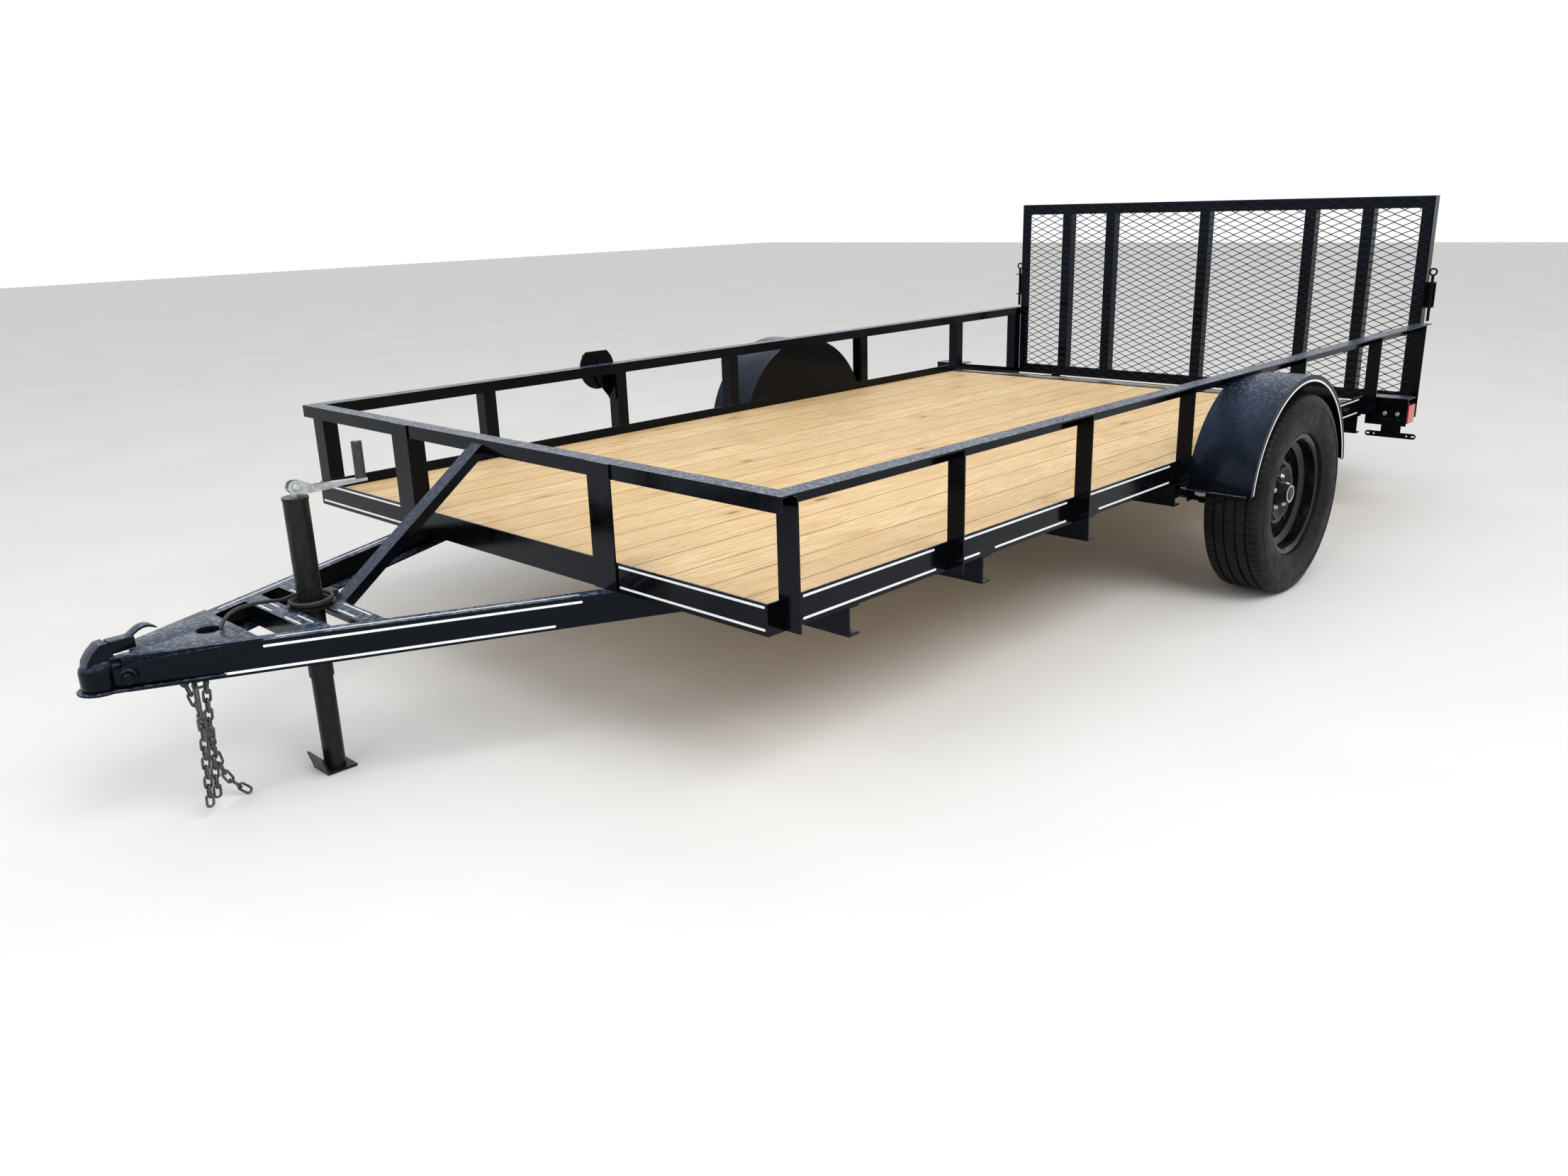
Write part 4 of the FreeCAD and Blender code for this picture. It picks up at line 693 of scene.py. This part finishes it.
def finished(name, parts, body, finish, stands_for=(), angle=32):
    """Joins parts into a named piece with a finish, on a body."""
    alone()
    for part in parts:
        part.select_set(True)
    bpy.context.view_layer.objects.active = parts[0]
    if len(parts) > 1:
        bpy.ops.object.join()
    piece = bpy.context.object
    bpy.ops.object.shade_smooth_by_angle(angle=math.radians(angle))
    piece.name = piece.data.name = name
    piece.data.materials.clear()
    piece.data.materials.append(finish)
    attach(piece, body)
    if stands_for:
        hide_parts(*stands_for)
    print(name, len(piece.data.polygons), "faces")


print("placing helpers ready")

# %% [markdown]
# ## White pinstripes
# Thin painted lines run along the lower rails, the tongue and its bars, near each edge, and
# stop short of each corner. Each stripe is a very thin slab: the four short edges are beveled
# until its ends are round, and a tenth of the slab is sunk in the steel.

# %% One stripe
stripe_width, narrow_width, stripe_wall = 0.0060, 0.0052, 0.0006
round_share, lift_share = 0.46, 0.4


def stripe(start, end, outward, width=stripe_width):
    """One stripe from a start to an end, on a face that looks outward."""
    start, end = Vector(start), Vector(end)
    run = end - start
    made = start_cube((run.length, width, stripe_wall))
    pick(made, "EDGE", lambda middle, way: abs(way.z) > 0.9)
    bpy.ops.mesh.bevel(offset=width * round_share, segments=4)
    bpy.ops.object.mode_set(mode="OBJECT")
    lift = Vector(outward).normalized() * stripe_wall * lift_share
    made.data.transform(facing((start + end) / 2 + lift, run, outward))
    return made


print("stripes are", stripe_width, "m wide")

# %% [markdown]
# On the rails two lines run at the top and the bottom edge, broken at each post and fender.
# A station is a distance behind the front rail's face.

# %% Stripes on the rails


def at(station):
    """World X of a station behind the front rail's face."""
    return front_x - station


stripes = []
for height in (0.503, 0.450):
    for start_y, end_y in ((-1.028, -0.524), (0.525, 1.033)):
        stripes.append(stripe((front_x, start_y, height), (front_x, end_y, height), (1, 0, 0)))
side_runs = ((0.503, ((0.114, 0.603), (0.725, 1.233), (1.355, 1.858), (2.850, 3.516))),
             (0.4495, ((0.113, 0.610), (0.724, 0.802), (0.872, 1.231), (1.414, 1.858), (2.850, 3.508))))
for side in (1, -1):
    for height, runs in side_runs:
        for fore, aft in runs:
            stripes.append(stripe((at(fore), side * rail_y, height), (at(aft), side * rail_y, height),
                                  (0, side, 0)))
print("stripes on the rails", len(stripes))

# %% [markdown]
# The tongue's legs run askew, so a point on one is given by how far ahead of the front rail
# it lies and how far in from the leg's outer face. The crossbars carry short stripes.

# %% Stripes on the tongue
leg_angle, leg_root_y = math.radians(25.2), 0.513
top_inset = 0.020


def leg_place(ahead, inset, height, side):
    """A point on a tongue leg: ahead of the front rail, in from its outer face, at a height."""
    return (front_x + ahead, side * (leg_root_y - ahead * math.tan(leg_angle) - inset), height)


for side in (1, -1):
    outward = (math.sin(leg_angle), side * math.cos(leg_angle), 0)
    for height, far, near in ((0.4225, 0.745, 0.080), (0.3690, 0.826, 0.144)):
        stripes.append(stripe(leg_place(far, 0, height, side), leg_place(near, 0, height, side), outward))
    stripes.append(stripe(leg_place(0.712, top_inset, tongue_top, side),
                          leg_place(0.075, top_inset, tongue_top, side), (0, 0, 1), narrow_width))
    for ahead, inner_y, outer_y in ((0.633, 0.036, 0.120), (0.6075, 0.050, 0.132),
                                    (0.523, 0.087, 0.170), (0.491, 0.052, 0.186)):
        stripes.append(stripe((front_x + ahead, side * inner_y, tongue_top),
                              (front_x + ahead, side * outer_y, tongue_top), (0, 0, 1), narrow_width))
finished("pinstripes", stripes, "chassis", stripe_paint)

# %% [markdown]
# ## The stripe round each fender's lip
# One thin slab's face is spun about the fender's centre, so the stripe follows the arc.

# %% Fender stripes
fender_x, fender_z, fender_face = at(2.378), 0.352, box_of("fender_left")[1][1]
lip_stripe_radius, lip_stripe_width, lip_stripe_low, lip_sunk = 0.3795, 0.0062, 0.408, 0.0002
sliver = 0.0002             # a slab so thin that extruding or spinning it makes the whole shape
quarter = math.radians(90)
lip_start = math.asin((lip_stripe_low - fender_z) / lip_stripe_radius)
to_start = Matrix.Rotation(-lip_start, 4, "Y")
lip_stripes = []
for side in (1, -1):
    strip = start_cube((sliver, stripe_wall, lip_stripe_width))
    bpy.ops.object.mode_set(mode="OBJECT")
    strip.data.transform(Matrix.Rotation(quarter, 4, "Y"))
    strip.data.transform(Matrix.Translation((fender_x, side * (fender_face - lip_sunk), fender_z)) @ to_start
                         @ Matrix.Translation((lip_stripe_radius, 0, 0)))
    pick(strip, "FACE", lambda middle, normal: normal.dot(to_start @ Vector((0, 0, 1))) > 0.9)
    bpy.ops.mesh.spin(steps=64, angle=math.pi - 2 * lip_start, center=(fender_x, 0, fender_z), axis=(0, 1, 0))
    bpy.ops.mesh.select_all(action="SELECT")
    bpy.ops.mesh.remove_doubles(threshold=0.00001)
    bpy.ops.mesh.normals_make_consistent(inside=False)
    bpy.ops.object.mode_set(mode="OBJECT")
    lip_stripes.append(strip)
finished("fender_stripes", lip_stripes, "chassis", stripe_paint)

# %% [markdown]
# ## Tyres
# A cylinder's two ends are extruded and scaled ring by ring, which draws the shoulder, the
# sidewall with its thin rib and the bead. The two beads are then bridged on the inside.

# %% Tyre outline
tyre_steps = 168
crown_half = 0.077
side_profile = ((0.3412, 0.084), (0.3360, 0.0905), (0.3270, 0.0952), (0.3130, 0.0990), (0.3060, 0.1002),
                (0.3050, 0.1018), (0.3020, 0.1020), (0.3010, 0.1004), (0.2850, 0.1016), (0.2640, 0.1014),
                (0.2450, 0.0985), (0.2300, 0.0930), (0.2180, 0.0870), (0.2120, 0.0850), (0.2100, 0.0800))
tyre = start_round(tyre_radius, 2 * crown_half, tyre_steps)


def pick_tyre_ends():
    """Selects the two round faces that still close the tyre's ends."""
    pick(tyre, "FACE", lambda middle, normal: abs(normal.z) > 0.99 and abs(middle.x) + abs(middle.y) < 0.01)


before_radius, before_half = tyre_radius, crown_half
for radius, half in side_profile:
    pick_tyre_ends()
    bpy.ops.mesh.extrude_region_move()
    bpy.ops.transform.resize(value=(radius / before_radius, radius / before_radius, half / before_half))
    before_radius, before_half = radius, half
pick_tyre_ends()
bpy.ops.mesh.delete(type="ONLY_FACE")
pick(tyre, "EDGE", lambda middle, way: middle.xy.length < before_radius + 0.0005 and abs(way.z) < 0.1)
bpy.ops.mesh.bridge_edge_loops()
print("rings on each sidewall", len(side_profile))

# %% [markdown]
# Flat cuts divide the crown, and the narrow bands between them sink to become grooves.

# %% Grooves round the tyre
groove_centres, groove_width, groove_floor = (-0.054, -0.019, 0.019, 0.054), 0.0075, 0.336
for centre in groove_centres:
    for offset in (-groove_width / 2, groove_width / 2):
        bpy.ops.mesh.select_all(action="SELECT")
        bpy.ops.mesh.bisect(plane_co=(0, 0, centre + offset), plane_no=(0, 0, 1))


def in_groove(middle):
    """Whether a place lies on the crown's surface, between the cuts of a groove."""
    return (middle.xy.length > tyre_radius - 0.001 and abs(middle.z) < crown_half
            and any(abs(middle.z - centre) < groove_width / 2 for centre in groove_centres))


pick(tyre, "FACE", lambda middle, normal: in_groove(middle))
bpy.ops.mesh.extrude_region_move()
sink = groove_floor / tyre_radius
bpy.ops.transform.resize(value=(sink, sink, 1))
print("grooves", len(groove_centres))

# %% [markdown]
# Every second or third step round, an edge across the shoulder or a rib is widened by a
# bevel, and the narrow band sinks into a slit, not as deep as the grooves. Each row of slits
# has its reach across the tread, its spacing, a shift on one side and half a slit's width.

# %% Slits across the tread
shoulder_radius, slit_rise = 0.3325, 0.006
slit_rows = ((0.0580, 0.0935, 2, 1, 0.0013), (0.0230, 0.0500, 3, 1, 0.0009), (-0.0150, 0.0150, 3, 0, 0.0008))
step_angle = 2 * math.pi / tyre_steps


def round_step(middle):
    """The number of an edge's step round the tyre."""
    return int(round(math.atan2(middle.y, middle.x) / step_angle)) % tyre_steps


for low, high, every, shift, half_slit in slit_rows:
    pick(tyre, "EDGE", lambda middle, way: middle.xy.length > shoulder_radius
         and low < (abs(middle.z) if low > 0 else middle.z) < high
         and abs(way.z) > 0.3 and (round_step(middle) + (shift if middle.z > 0 else 0)) % every == 0)
    bpy.ops.mesh.bevel(offset=half_slit, segments=1)
    bpy.ops.mesh.extrude_region_move()
    bpy.ops.transform.resize(value=(sink + slit_rise, sink + slit_rise, 1))
bpy.ops.object.mode_set(mode="OBJECT")
print("tyre corners", len(tyre.data.vertices))

# %% [markdown]
# The finished tyre is copied to each side, turned from Z to the axle's Y, and takes the place
# of the frame's smooth ring. It rides on the wheel, so it spins with the rim.

# %% Both tyres
for name, side in (("left", 1), ("right", -1)):
    wheel_turn = Matrix.Translation((wheel_x, side * wheel_y, tyre_radius)) @ Matrix.Rotation(quarter, 4, "X")
    finished("tread_tyre_" + name, [copy_at(tyre, wheel_turn)], "wheel_" + name, tyre_rubber,
             ("tyre_" + name,), 28)
drop(tyre)

# %% [markdown]
# ## Wheel nuts and hub caps
# A nut is a six-sided cylinder whose end is inset and drawn out to a dome, with a tapered
# seat at its back. Round each hub cap's end runs a thin bright ring about a dark plug.

# %% One nut
nut_radius, nut_long, hexagon = 0.0112, 0.020, 6
seat_long, seat_share = 0.005, 0.72
nut = start_round(nut_radius, nut_long, hexagon)
pick_side(nut, "+Z")
inset_steps((0.0022, 0.0012), (0.0006, 0.004), (0.0028, 0.0026))
pick_side(nut, "-Z")
draw_out((0, 0, -seat_long))
bpy.ops.transform.resize(value=(seat_share, seat_share, 1))
soften(nut, 0.0009)
print("nut corners", len(nut.data.vertices))

# %% [markdown]
# The ring is a flat disc whose face is inset and sunk, and the plug that fills it has a low
# step, as pressed rubber has.

# %% Cap ring and plug
ring_radius, ring_tall, plug_radius, plug_tall = 0.0308, 0.004, 0.0205, 0.006
cap_ring = start_round(ring_radius, ring_tall, 40)
pick_side(cap_ring, "+Z")
inset_steps((0.0065, 0), (0.0008, -0.003))
soften(cap_ring, 0.0008)
cap_plug = start_round(plug_radius, plug_tall, 32)
pick_side(cap_plug, "+Z")
inset_steps((0.004, 0.0015), (0.006, -0.0015))
soften(cap_plug, 0.0007)
print("cap corners", len(cap_ring.data.vertices) + len(cap_plug.data.vertices))

# %% [markdown]
# Five nuts go on the studs of each wheel, a quarter of a step round from level.

# %% Nuts and caps on both wheels
stud_count, stud_radius, first_stud = 5, 0.1143 / 2, 0.25
nut_face, cap_face = 0.0165, 0.0595
for name, side in (("left", 1), ("right", -1)):
    outward = Vector((0, side, 0))
    middle = Vector((wheel_x, side * wheel_y, tyre_radius))
    nuts = []
    for k in range(stud_count):
        angle = 2 * math.pi * (k + first_stud) / stud_count
        spoke = Vector((math.cos(angle), 0, math.sin(angle)))
        nuts.append(copy_at(nut, facing(middle + spoke * stud_radius + outward * nut_face, spoke, outward)))
    finished("wheel_nuts_" + name, nuts, "wheel_" + name, zinc, ())
    cap_turn = facing(middle + outward * cap_face, (1, 0, 0), outward)
    finished("cap_ring_" + name, [copy_at(cap_ring, cap_turn)], "wheel_" + name, zinc, ())
    finished("cap_plug_" + name, [copy_at(cap_plug, cap_turn)], "wheel_" + name, soft_rubber, ())
drop(nut, cap_ring, cap_plug)

# %% [markdown]
# ## Safety chains
# One link is a torus whose two halves are pulled apart.

# %% One chain link
link_wire, link_width, link_long = 0.0064, 0.022, 0.040
alone()
bpy.ops.mesh.primitive_torus_add(major_radius=(link_width - link_wire) / 2, minor_radius=link_wire / 2,
                                 major_segments=28, minor_segments=12)
link = bpy.context.object
for way in (1, -1):
    pick(link, "VERT", lambda place, normal: place.x * way > 0.0001)
    bpy.ops.transform.translate(value=(way * (link_long - link_width) / 2, 0, 0))
bpy.ops.object.mode_set(mode="OBJECT")
print("link", link_long, "m long")

# %% [markdown]
# The frame's links are cruder, but they lie where they should: each is an island of its mesh,
# and the island's longest and widest directions say how a smooth link turns.

# %% Islands of a mesh
weld_grid = 20000           # corners per metre: those within a twentieth of a millimetre are one
turns_of_way = 60


def islands(node):
    """Groups a node's corners into its separate solids, each a list of places."""
    places = [node.matrix_world @ vertex.co for vertex in node.data.vertices]
    keys = [tuple(round(value * weld_grid) for value in place) for place in places]
    parent = {key: key for key in keys}

    def root(key):
        while parent[key] != key:
            parent[key] = parent[parent[key]]
            key = parent[key]
        return key

    for face in node.data.polygons:
        first = root(keys[face.vertices[0]])
        for other in face.vertices[1:]:
            parent[root(keys[other])] = first
    groups = {}
    for key, place in zip(keys, places):
        groups.setdefault(root(key), {})[key] = place
    return [list(group.values()) for group in groups.values()]


def main_way(offsets):
    """The direction in which points spread most, found by turning a vector again and again."""
    way = Vector((0.31, 0.47, 0.83))
    for _ in range(turns_of_way):
        way = sum(((offset.dot(way)) * offset for offset in offsets), Vector()).normalized()
    return way


print("island helpers ready")

# %% [markdown]
# Each island gets one smooth link, turned as the island lies, and all are joined into a piece.

# %% Chain links
links = []
for corners in islands(nodes["safety_chains"]):
    middle = sum(corners, Vector()) / len(corners)
    offsets = [corner - middle for corner in corners]
    along = main_way(offsets)
    across = main_way([offset - offset.dot(along) * along for offset in offsets])
    links.append(copy_at(link, facing(middle, along, along.cross(across))))
drop(link)
print("links", len(links))
finished("chain_links", links, "chassis", chain_steel, ("safety_chains",), 60)

# %% [markdown]
# ## Expanded-metal mesh in the gate
# A grid's cells are poked into four triangles each, and the grid's own lines are dissolved.
# What is left is diamonds. A wireframe modifier turns their edges into strands, which are
# then pressed flat.

# %% Gate mesh
mesh_low, mesh_high = box_of("gate_mesh")
mesh_inset, strand, flat_share = 0.0025, 0.0058, 0.5
mesh_width = mesh_high[1] - mesh_low[1] - 2 * mesh_inset
mesh_height = mesh_high[2] - mesh_low[2] - 2 * mesh_inset
mesh_columns, mesh_rows = 27, 26
alone()
bpy.ops.mesh.primitive_grid_add(x_subdivisions=mesh_columns, y_subdivisions=mesh_rows, size=1.0)
sheet = bpy.context.object
bpy.ops.object.mode_set(mode="EDIT")
bpy.ops.transform.resize(value=(mesh_width, mesh_height, 1))
bpy.ops.mesh.poke()
pick(sheet, "EDGE", lambda middle, way: max(abs(way.x), abs(way.y)) > 0.999
     and abs(middle.x) < mesh_width / 2 - 0.001 and abs(middle.y) < mesh_height / 2 - 0.001)
bpy.ops.mesh.dissolve_edges(use_verts=False)
bpy.ops.object.mode_set(mode="OBJECT")
print("diamonds", len(sheet.data.polygons))
apply_modifier(sheet, "WIREFRAME", thickness=strand, use_boundary=True, use_even_offset=False, offset=0.0)
bpy.ops.object.mode_set(mode="EDIT")
bpy.ops.mesh.select_all(action="SELECT")
bpy.ops.transform.resize(value=(1, 1, flat_share))
bpy.ops.object.mode_set(mode="OBJECT")
mesh_middle = tuple((low + high) / 2 for low, high in zip(mesh_low, mesh_high))
sheet.data.transform(facing(mesh_middle, (0, 1, 0), (1, 0, 0)))
finished("expanded_mesh", [sheet], "gate", black_paint, ("gate_mesh",), 20)

# %% [markdown]
# ## The coupler
# The pressed coupler has a rounded nose over the tow ball, with a flared lip and a neck
# behind it. The nose is a cylinder whose top is drawn up in steps that shrink to a dome.

# %% Flare, nose and neck
lip_z = box_of("coupler_body")[0][2]
flare_radius, flare_tall = 0.0485, 0.005
nose_radius, nose_tall, nose_sides = 0.0385, 0.048, 56
neck_long, neck_wide, neck_middle = 0.096, 0.060, 0.032
flare = start_round(flare_radius, flare_tall, nose_sides)
soften(flare, 0.0018, 3)
nose = start_round(nose_radius, nose_tall, nose_sides)
pick_side(nose, "+Z")
for back, rise, shrink in ((-0.0005, 0.008, 0.965), (-0.002, 0.007, 0.90), (-0.003, 0.005, 0.80),
                           (-0.003, 0.003, 0.62)):
    draw_out((back, 0, rise))
    bpy.ops.transform.resize(value=(shrink, shrink, 1))
soften(nose, 0.002, 2, 25)
neck = start_cube((neck_long, neck_wide, neck_wide))
pick_side(neck, "-X")
bpy.ops.transform.resize(value=(1, 1.12, 1.0))
soften(neck, 0.007, 4)
shell = [copy_at(flare, Matrix.Translation((ball_x, 0, lip_z + flare_tall / 2))),
         copy_at(nose, Matrix.Translation((ball_x, 0, lip_z + nose_tall / 2))),
         copy_at(neck, Matrix.Translation((ball_x - neck_long / 2, 0, lip_z + neck_middle)))]
drop(flare, nose, neck)
print("coupler parts", len(shell))

# %% [markdown]
# A plate widens back to the tongue's legs. Its front face is scaled narrow, and a boolean
# cuts the round hole where the cable comes out.

# %% Plate
plate_z, plate_long, plate_wall = 0.441, 0.282, 0.0050
plate_rear_half, plate_front_half, plate_behind_ball = 0.1636, 0.0301, 0.020
hole_radius, hole_ahead = 0.0275, 0.799
plate = start_cube((plate_long, 2 * plate_rear_half, plate_wall))
pick_side(plate, "+X")
bpy.ops.transform.resize(value=(1, plate_front_half / plate_rear_half, 1))
bpy.ops.object.mode_set(mode="OBJECT")
plate_middle = (ball_x - plate_behind_ball - plate_long / 2, 0, plate_z - plate_wall / 2)
plate.data.transform(Matrix.Translation(plate_middle))
hole_cutter = start_round(hole_radius, 0.03, 40)
bpy.ops.object.mode_set(mode="OBJECT")
hole_cutter.data.transform(Matrix.Translation((front_x + hole_ahead, 0, plate_z)))
alone()
apply_modifier(plate, "BOOLEAN", object=hole_cutter, operation="DIFFERENCE")
soften(plate, 0.0014, 2)
drop(hole_cutter)
shell.append(plate)
print("plate faces", len(plate.data.polygons))

# %% [markdown]
# On each side a rib runs along the bottom edge, and a web stands on it. The web is highest
# along the leg and drops to the nose: its top edge is cut once, and the new corner is moved.

# %% Ribs and webs
rib_wide, rib_tall, web_wall, web_tall = 0.013, 0.005, 0.0035, 0.071
web_drop, web_knee_share, web_knee_rise, web_back = 0.024, 0.22, 0.0055, 0.018


def bottom_run(side, leg_ahead, leg_inset, behind_ball, half_width):
    """The ends of a run along the coupler's bottom edge, from a leg to the nose."""
    return (Vector(leg_place(leg_ahead, leg_inset, lip_z, side)),
            Vector((ball_x - behind_ball, side * half_width, lip_z)))


def rib(side):
    """The flat rib at the bottom edge."""
    rear, ahead = bottom_run(side, 0.822, -0.003, 0.012, 0.0415)
    made = start_cube(((ahead - rear).length, rib_wide, rib_tall))
    soften(made, 0.0018, 2)
    made.data.transform(facing((rear + ahead) / 2 + Vector((0, 0, rib_tall / 2)), ahead - rear, (0, 0, 1)))
    return made


def web(side):
    """The upright wall over a rib."""
    rear, ahead = bottom_run(side, 0.836, -0.0022, 0.020, 0.0340)
    long = (ahead - rear).length
    made = start_cube((long, web_wall, web_tall))
    pick(made, "VERT", lambda place, normal: place.x > 0 and place.z > 0)
    bpy.ops.transform.translate(value=(0, 0, -web_drop))
    pick(made, "EDGE", lambda middle, way: abs(way.x) > 0.9 and middle.z > 0)
    bpy.ops.mesh.subdivide(number_cuts=1)
    pick(made, "VERT", lambda place, normal: abs(place.x) < 0.001 and place.z > 0)
    bpy.ops.transform.translate(value=(long * web_knee_share, 0, web_knee_rise))
    pick(made, "VERT", lambda place, normal: place.x < -0.01 and place.z > 0)
    bpy.ops.transform.translate(value=(-web_back, 0, 0))
    soften(made, 0.0014, 2)
    made.data.transform(facing((rear + ahead) / 2 + Vector((0, 0, web_tall / 2)), ahead - rear, (0, 0, 1)))
    return made


for side in (1, -1):
    shell.append(rib(side))
    shell.append(web(side))
print("coupler parts", len(shell))

# %% [markdown]
# A hood rises from the nose and leans back to the latch. A sliver at its front is extruded
# back along its side outline, and at each step the corners of its top are lifted to the
# outline's height.

# %% Hood
hood_side = ((0.026, 0.062), (0.023, 0.074), (0.010, 0.092), (-0.008, 0.1075), (-0.024, 0.1085),
             (-0.030, 0.1000))
hood_wide, hood_tall = 0.046, 0.030
hood = start_cube((sliver, hood_wide, hood_tall))
bpy.ops.object.mode_set(mode="OBJECT")
hood_front = (ball_x + hood_side[0][0], 0, lip_z + hood_side[0][1] - hood_tall / 2)
hood.data.transform(Matrix.Translation(hood_front))
for before, after in zip(hood_side, hood_side[1:]):
    pick(hood, "FACE", lambda middle, normal: normal.x < -0.6 and middle.x < ball_x + before[0] + 0.0001)
    draw_out((after[0] - before[0], 0, 0))
    pick(hood, "VERT", lambda place, normal: place.x < ball_x + after[0] + 0.0002
         and place.z > lip_z + before[1] - 0.0005)
    bpy.ops.transform.translate(value=(0, 0, after[1] - before[1]))
soften(hood, 0.0045, 3, 20)
shell.append(hood)
finished("coupler_shell", shell, "chassis", black_paint, ("coupler_body",), 35)

# %% [markdown]
# ## The latch
# A lever lies on the neck. Its front is a channel that is open below: a box whose underside
# is inset and pushed up until only a roof and four walls are left.

# %% Channel of the lever
channel_front, channel_rear, channel_top, channel_low = ball_x - 0.028, ball_x - 0.078, 0.4745, 0.4490
channel_wide, channel_wall, channel_roof, channel_slant = 0.036, 0.004, 0.005, 0.004
channel_long, channel_high = channel_front - channel_rear, channel_top - channel_low
channel = start_cube((channel_long, channel_wide, channel_high))
pick_side(channel, "-Z")
inset_steps((channel_wall, 0))
draw_out((0, 0, channel_high - channel_roof))
pick(channel, "FACE", lambda middle, normal: normal.x < -0.9 and middle.x < -channel_long / 2 + 0.0005)
bpy.ops.transform.translate(value=(-channel_slant, 0, 0))
soften(channel, 0.0016, 3)
channel_middle = ((channel_front + channel_rear) / 2, 0, (channel_top + channel_low) / 2)
channel.data.transform(Matrix.Translation(channel_middle))
print("channel", round(channel_long, 4), "m long")

# %% [markdown]
# The tail is a thin strip that curves up and back for the hand. A sliver's rear face is
# extruded along the path point by point, and the last one is made narrower.

# %% Tail of the lever
tail_path = ((-0.062, 0.4715), (-0.074, 0.4735), (-0.084, 0.4800), (-0.094, 0.4860), (-0.105, 0.4895),
             (-0.116, 0.4890), (-0.126, 0.4850), (-0.134, 0.4795))
tail_wide, tail_wall = 0.030, 0.005
tail = start_cube((sliver, tail_wide, tail_wall))
bpy.ops.object.mode_set(mode="OBJECT")
tail.data.transform(Matrix.Translation((ball_x + tail_path[0][0], 0, tail_path[0][1])))
for before, after in zip(tail_path, tail_path[1:]):
    pick(tail, "FACE", lambda middle, normal: middle.x < ball_x + before[0] - 0.00005 and normal.x < -0.7)
    draw_out((after[0] - before[0], 0, after[1] - before[1]))
pick(tail, "FACE", lambda middle, normal: middle.x < ball_x + tail_path[-1][0] + 0.0005 and normal.x < -0.7)
bpy.ops.transform.resize(value=(1, 0.62, 0.6))
soften(tail, 0.0018, 3, 30)
finished("coupler_lever", [channel, tail], "chassis", black_paint, ("coupler_latch",), 35)

# %% [markdown]
# Under the channel sits a plated slider, a block that narrows to the front.

# %% Latch slider
slider_long, slider_wide, slider_tall = 0.036, 0.046, 0.0125
slider_behind_ball, slider_z = 0.048, 0.4424
slider = start_cube((slider_long, slider_wide, slider_tall))
pick_side(slider, "+X")
bpy.ops.transform.resize(value=(1, 0.9, 0.7))
soften(slider, 0.003, 3)
slider.data.transform(Matrix.Translation((ball_x - slider_behind_ball, 0, slider_z)))
finished("latch_slider", [slider], "chassis", zinc, ())

# %% [markdown]
# A pivot bolt goes across behind the nose. On each side a round boss with a raised rim
# carries a six-sided head, turned a little to follow the web.

# %% Pivot bolts
boss_radius, boss_tall, head_radius, head_tall = 0.0190, 0.010, 0.0095, 0.008
boss = start_round(boss_radius, boss_tall, 40)
pick_side(boss, "+Z")
inset_steps((0.0045, 0.0025), (0.001, -0.0025))
soften(boss, 0.001, 2)
bolt = start_round(head_radius, head_tall, hexagon)
pick_side(bolt, "+Z")
inset_steps((0.0018, 0.0012))
soften(bolt, 0.0008, 2)
pivot_behind_ball, pivot_y, pivot_z, head_lift = 0.045, 0.0505, 0.397, 0.0065
pivots = []
for side in (1, -1):
    outward = Vector((0.423, side * 0.906, 0))
    spot = Vector((ball_x - pivot_behind_ball, side * pivot_y, pivot_z))
    pivots += [copy_at(boss, facing(spot, (1, 0, 0), outward)),
               copy_at(bolt, facing(spot + outward * head_lift, (1, 0, 0.3), outward))]
drop(boss)
finished("coupler_pivot", pivots, "chassis", black_paint, ())

# %% [markdown]
# ## Small zinc bolts
# The same bolt head is copied to the lamp guards and to the hub of the jack's crank.

# %% Bolts
guard_x, guard_bolts_y, guard_bolts_z = box_of("light_guards")[1][0], (1.119, 1.169), 0.441
crank_hub_y, crank_hub_z = 0.0125, 0.734
bolt_lift = 0.003
bolt_spots = [((guard_x, side * y, guard_bolts_z), (1, 0, 0)) for side in (1, -1) for y in guard_bolts_y]
bolt_spots += [((jack_x, side * crank_hub_y, crank_hub_z), (0, side, 0)) for side in (1, -1)]
bolts = []
for spot, outward in bolt_spots:
    bolts.append(copy_at(bolt, facing(Vector(spot) + Vector(outward) * bolt_lift, (0, 0, 1), outward)))
drop(bolt)
finished("small_bolts", bolts, "chassis", zinc, ())
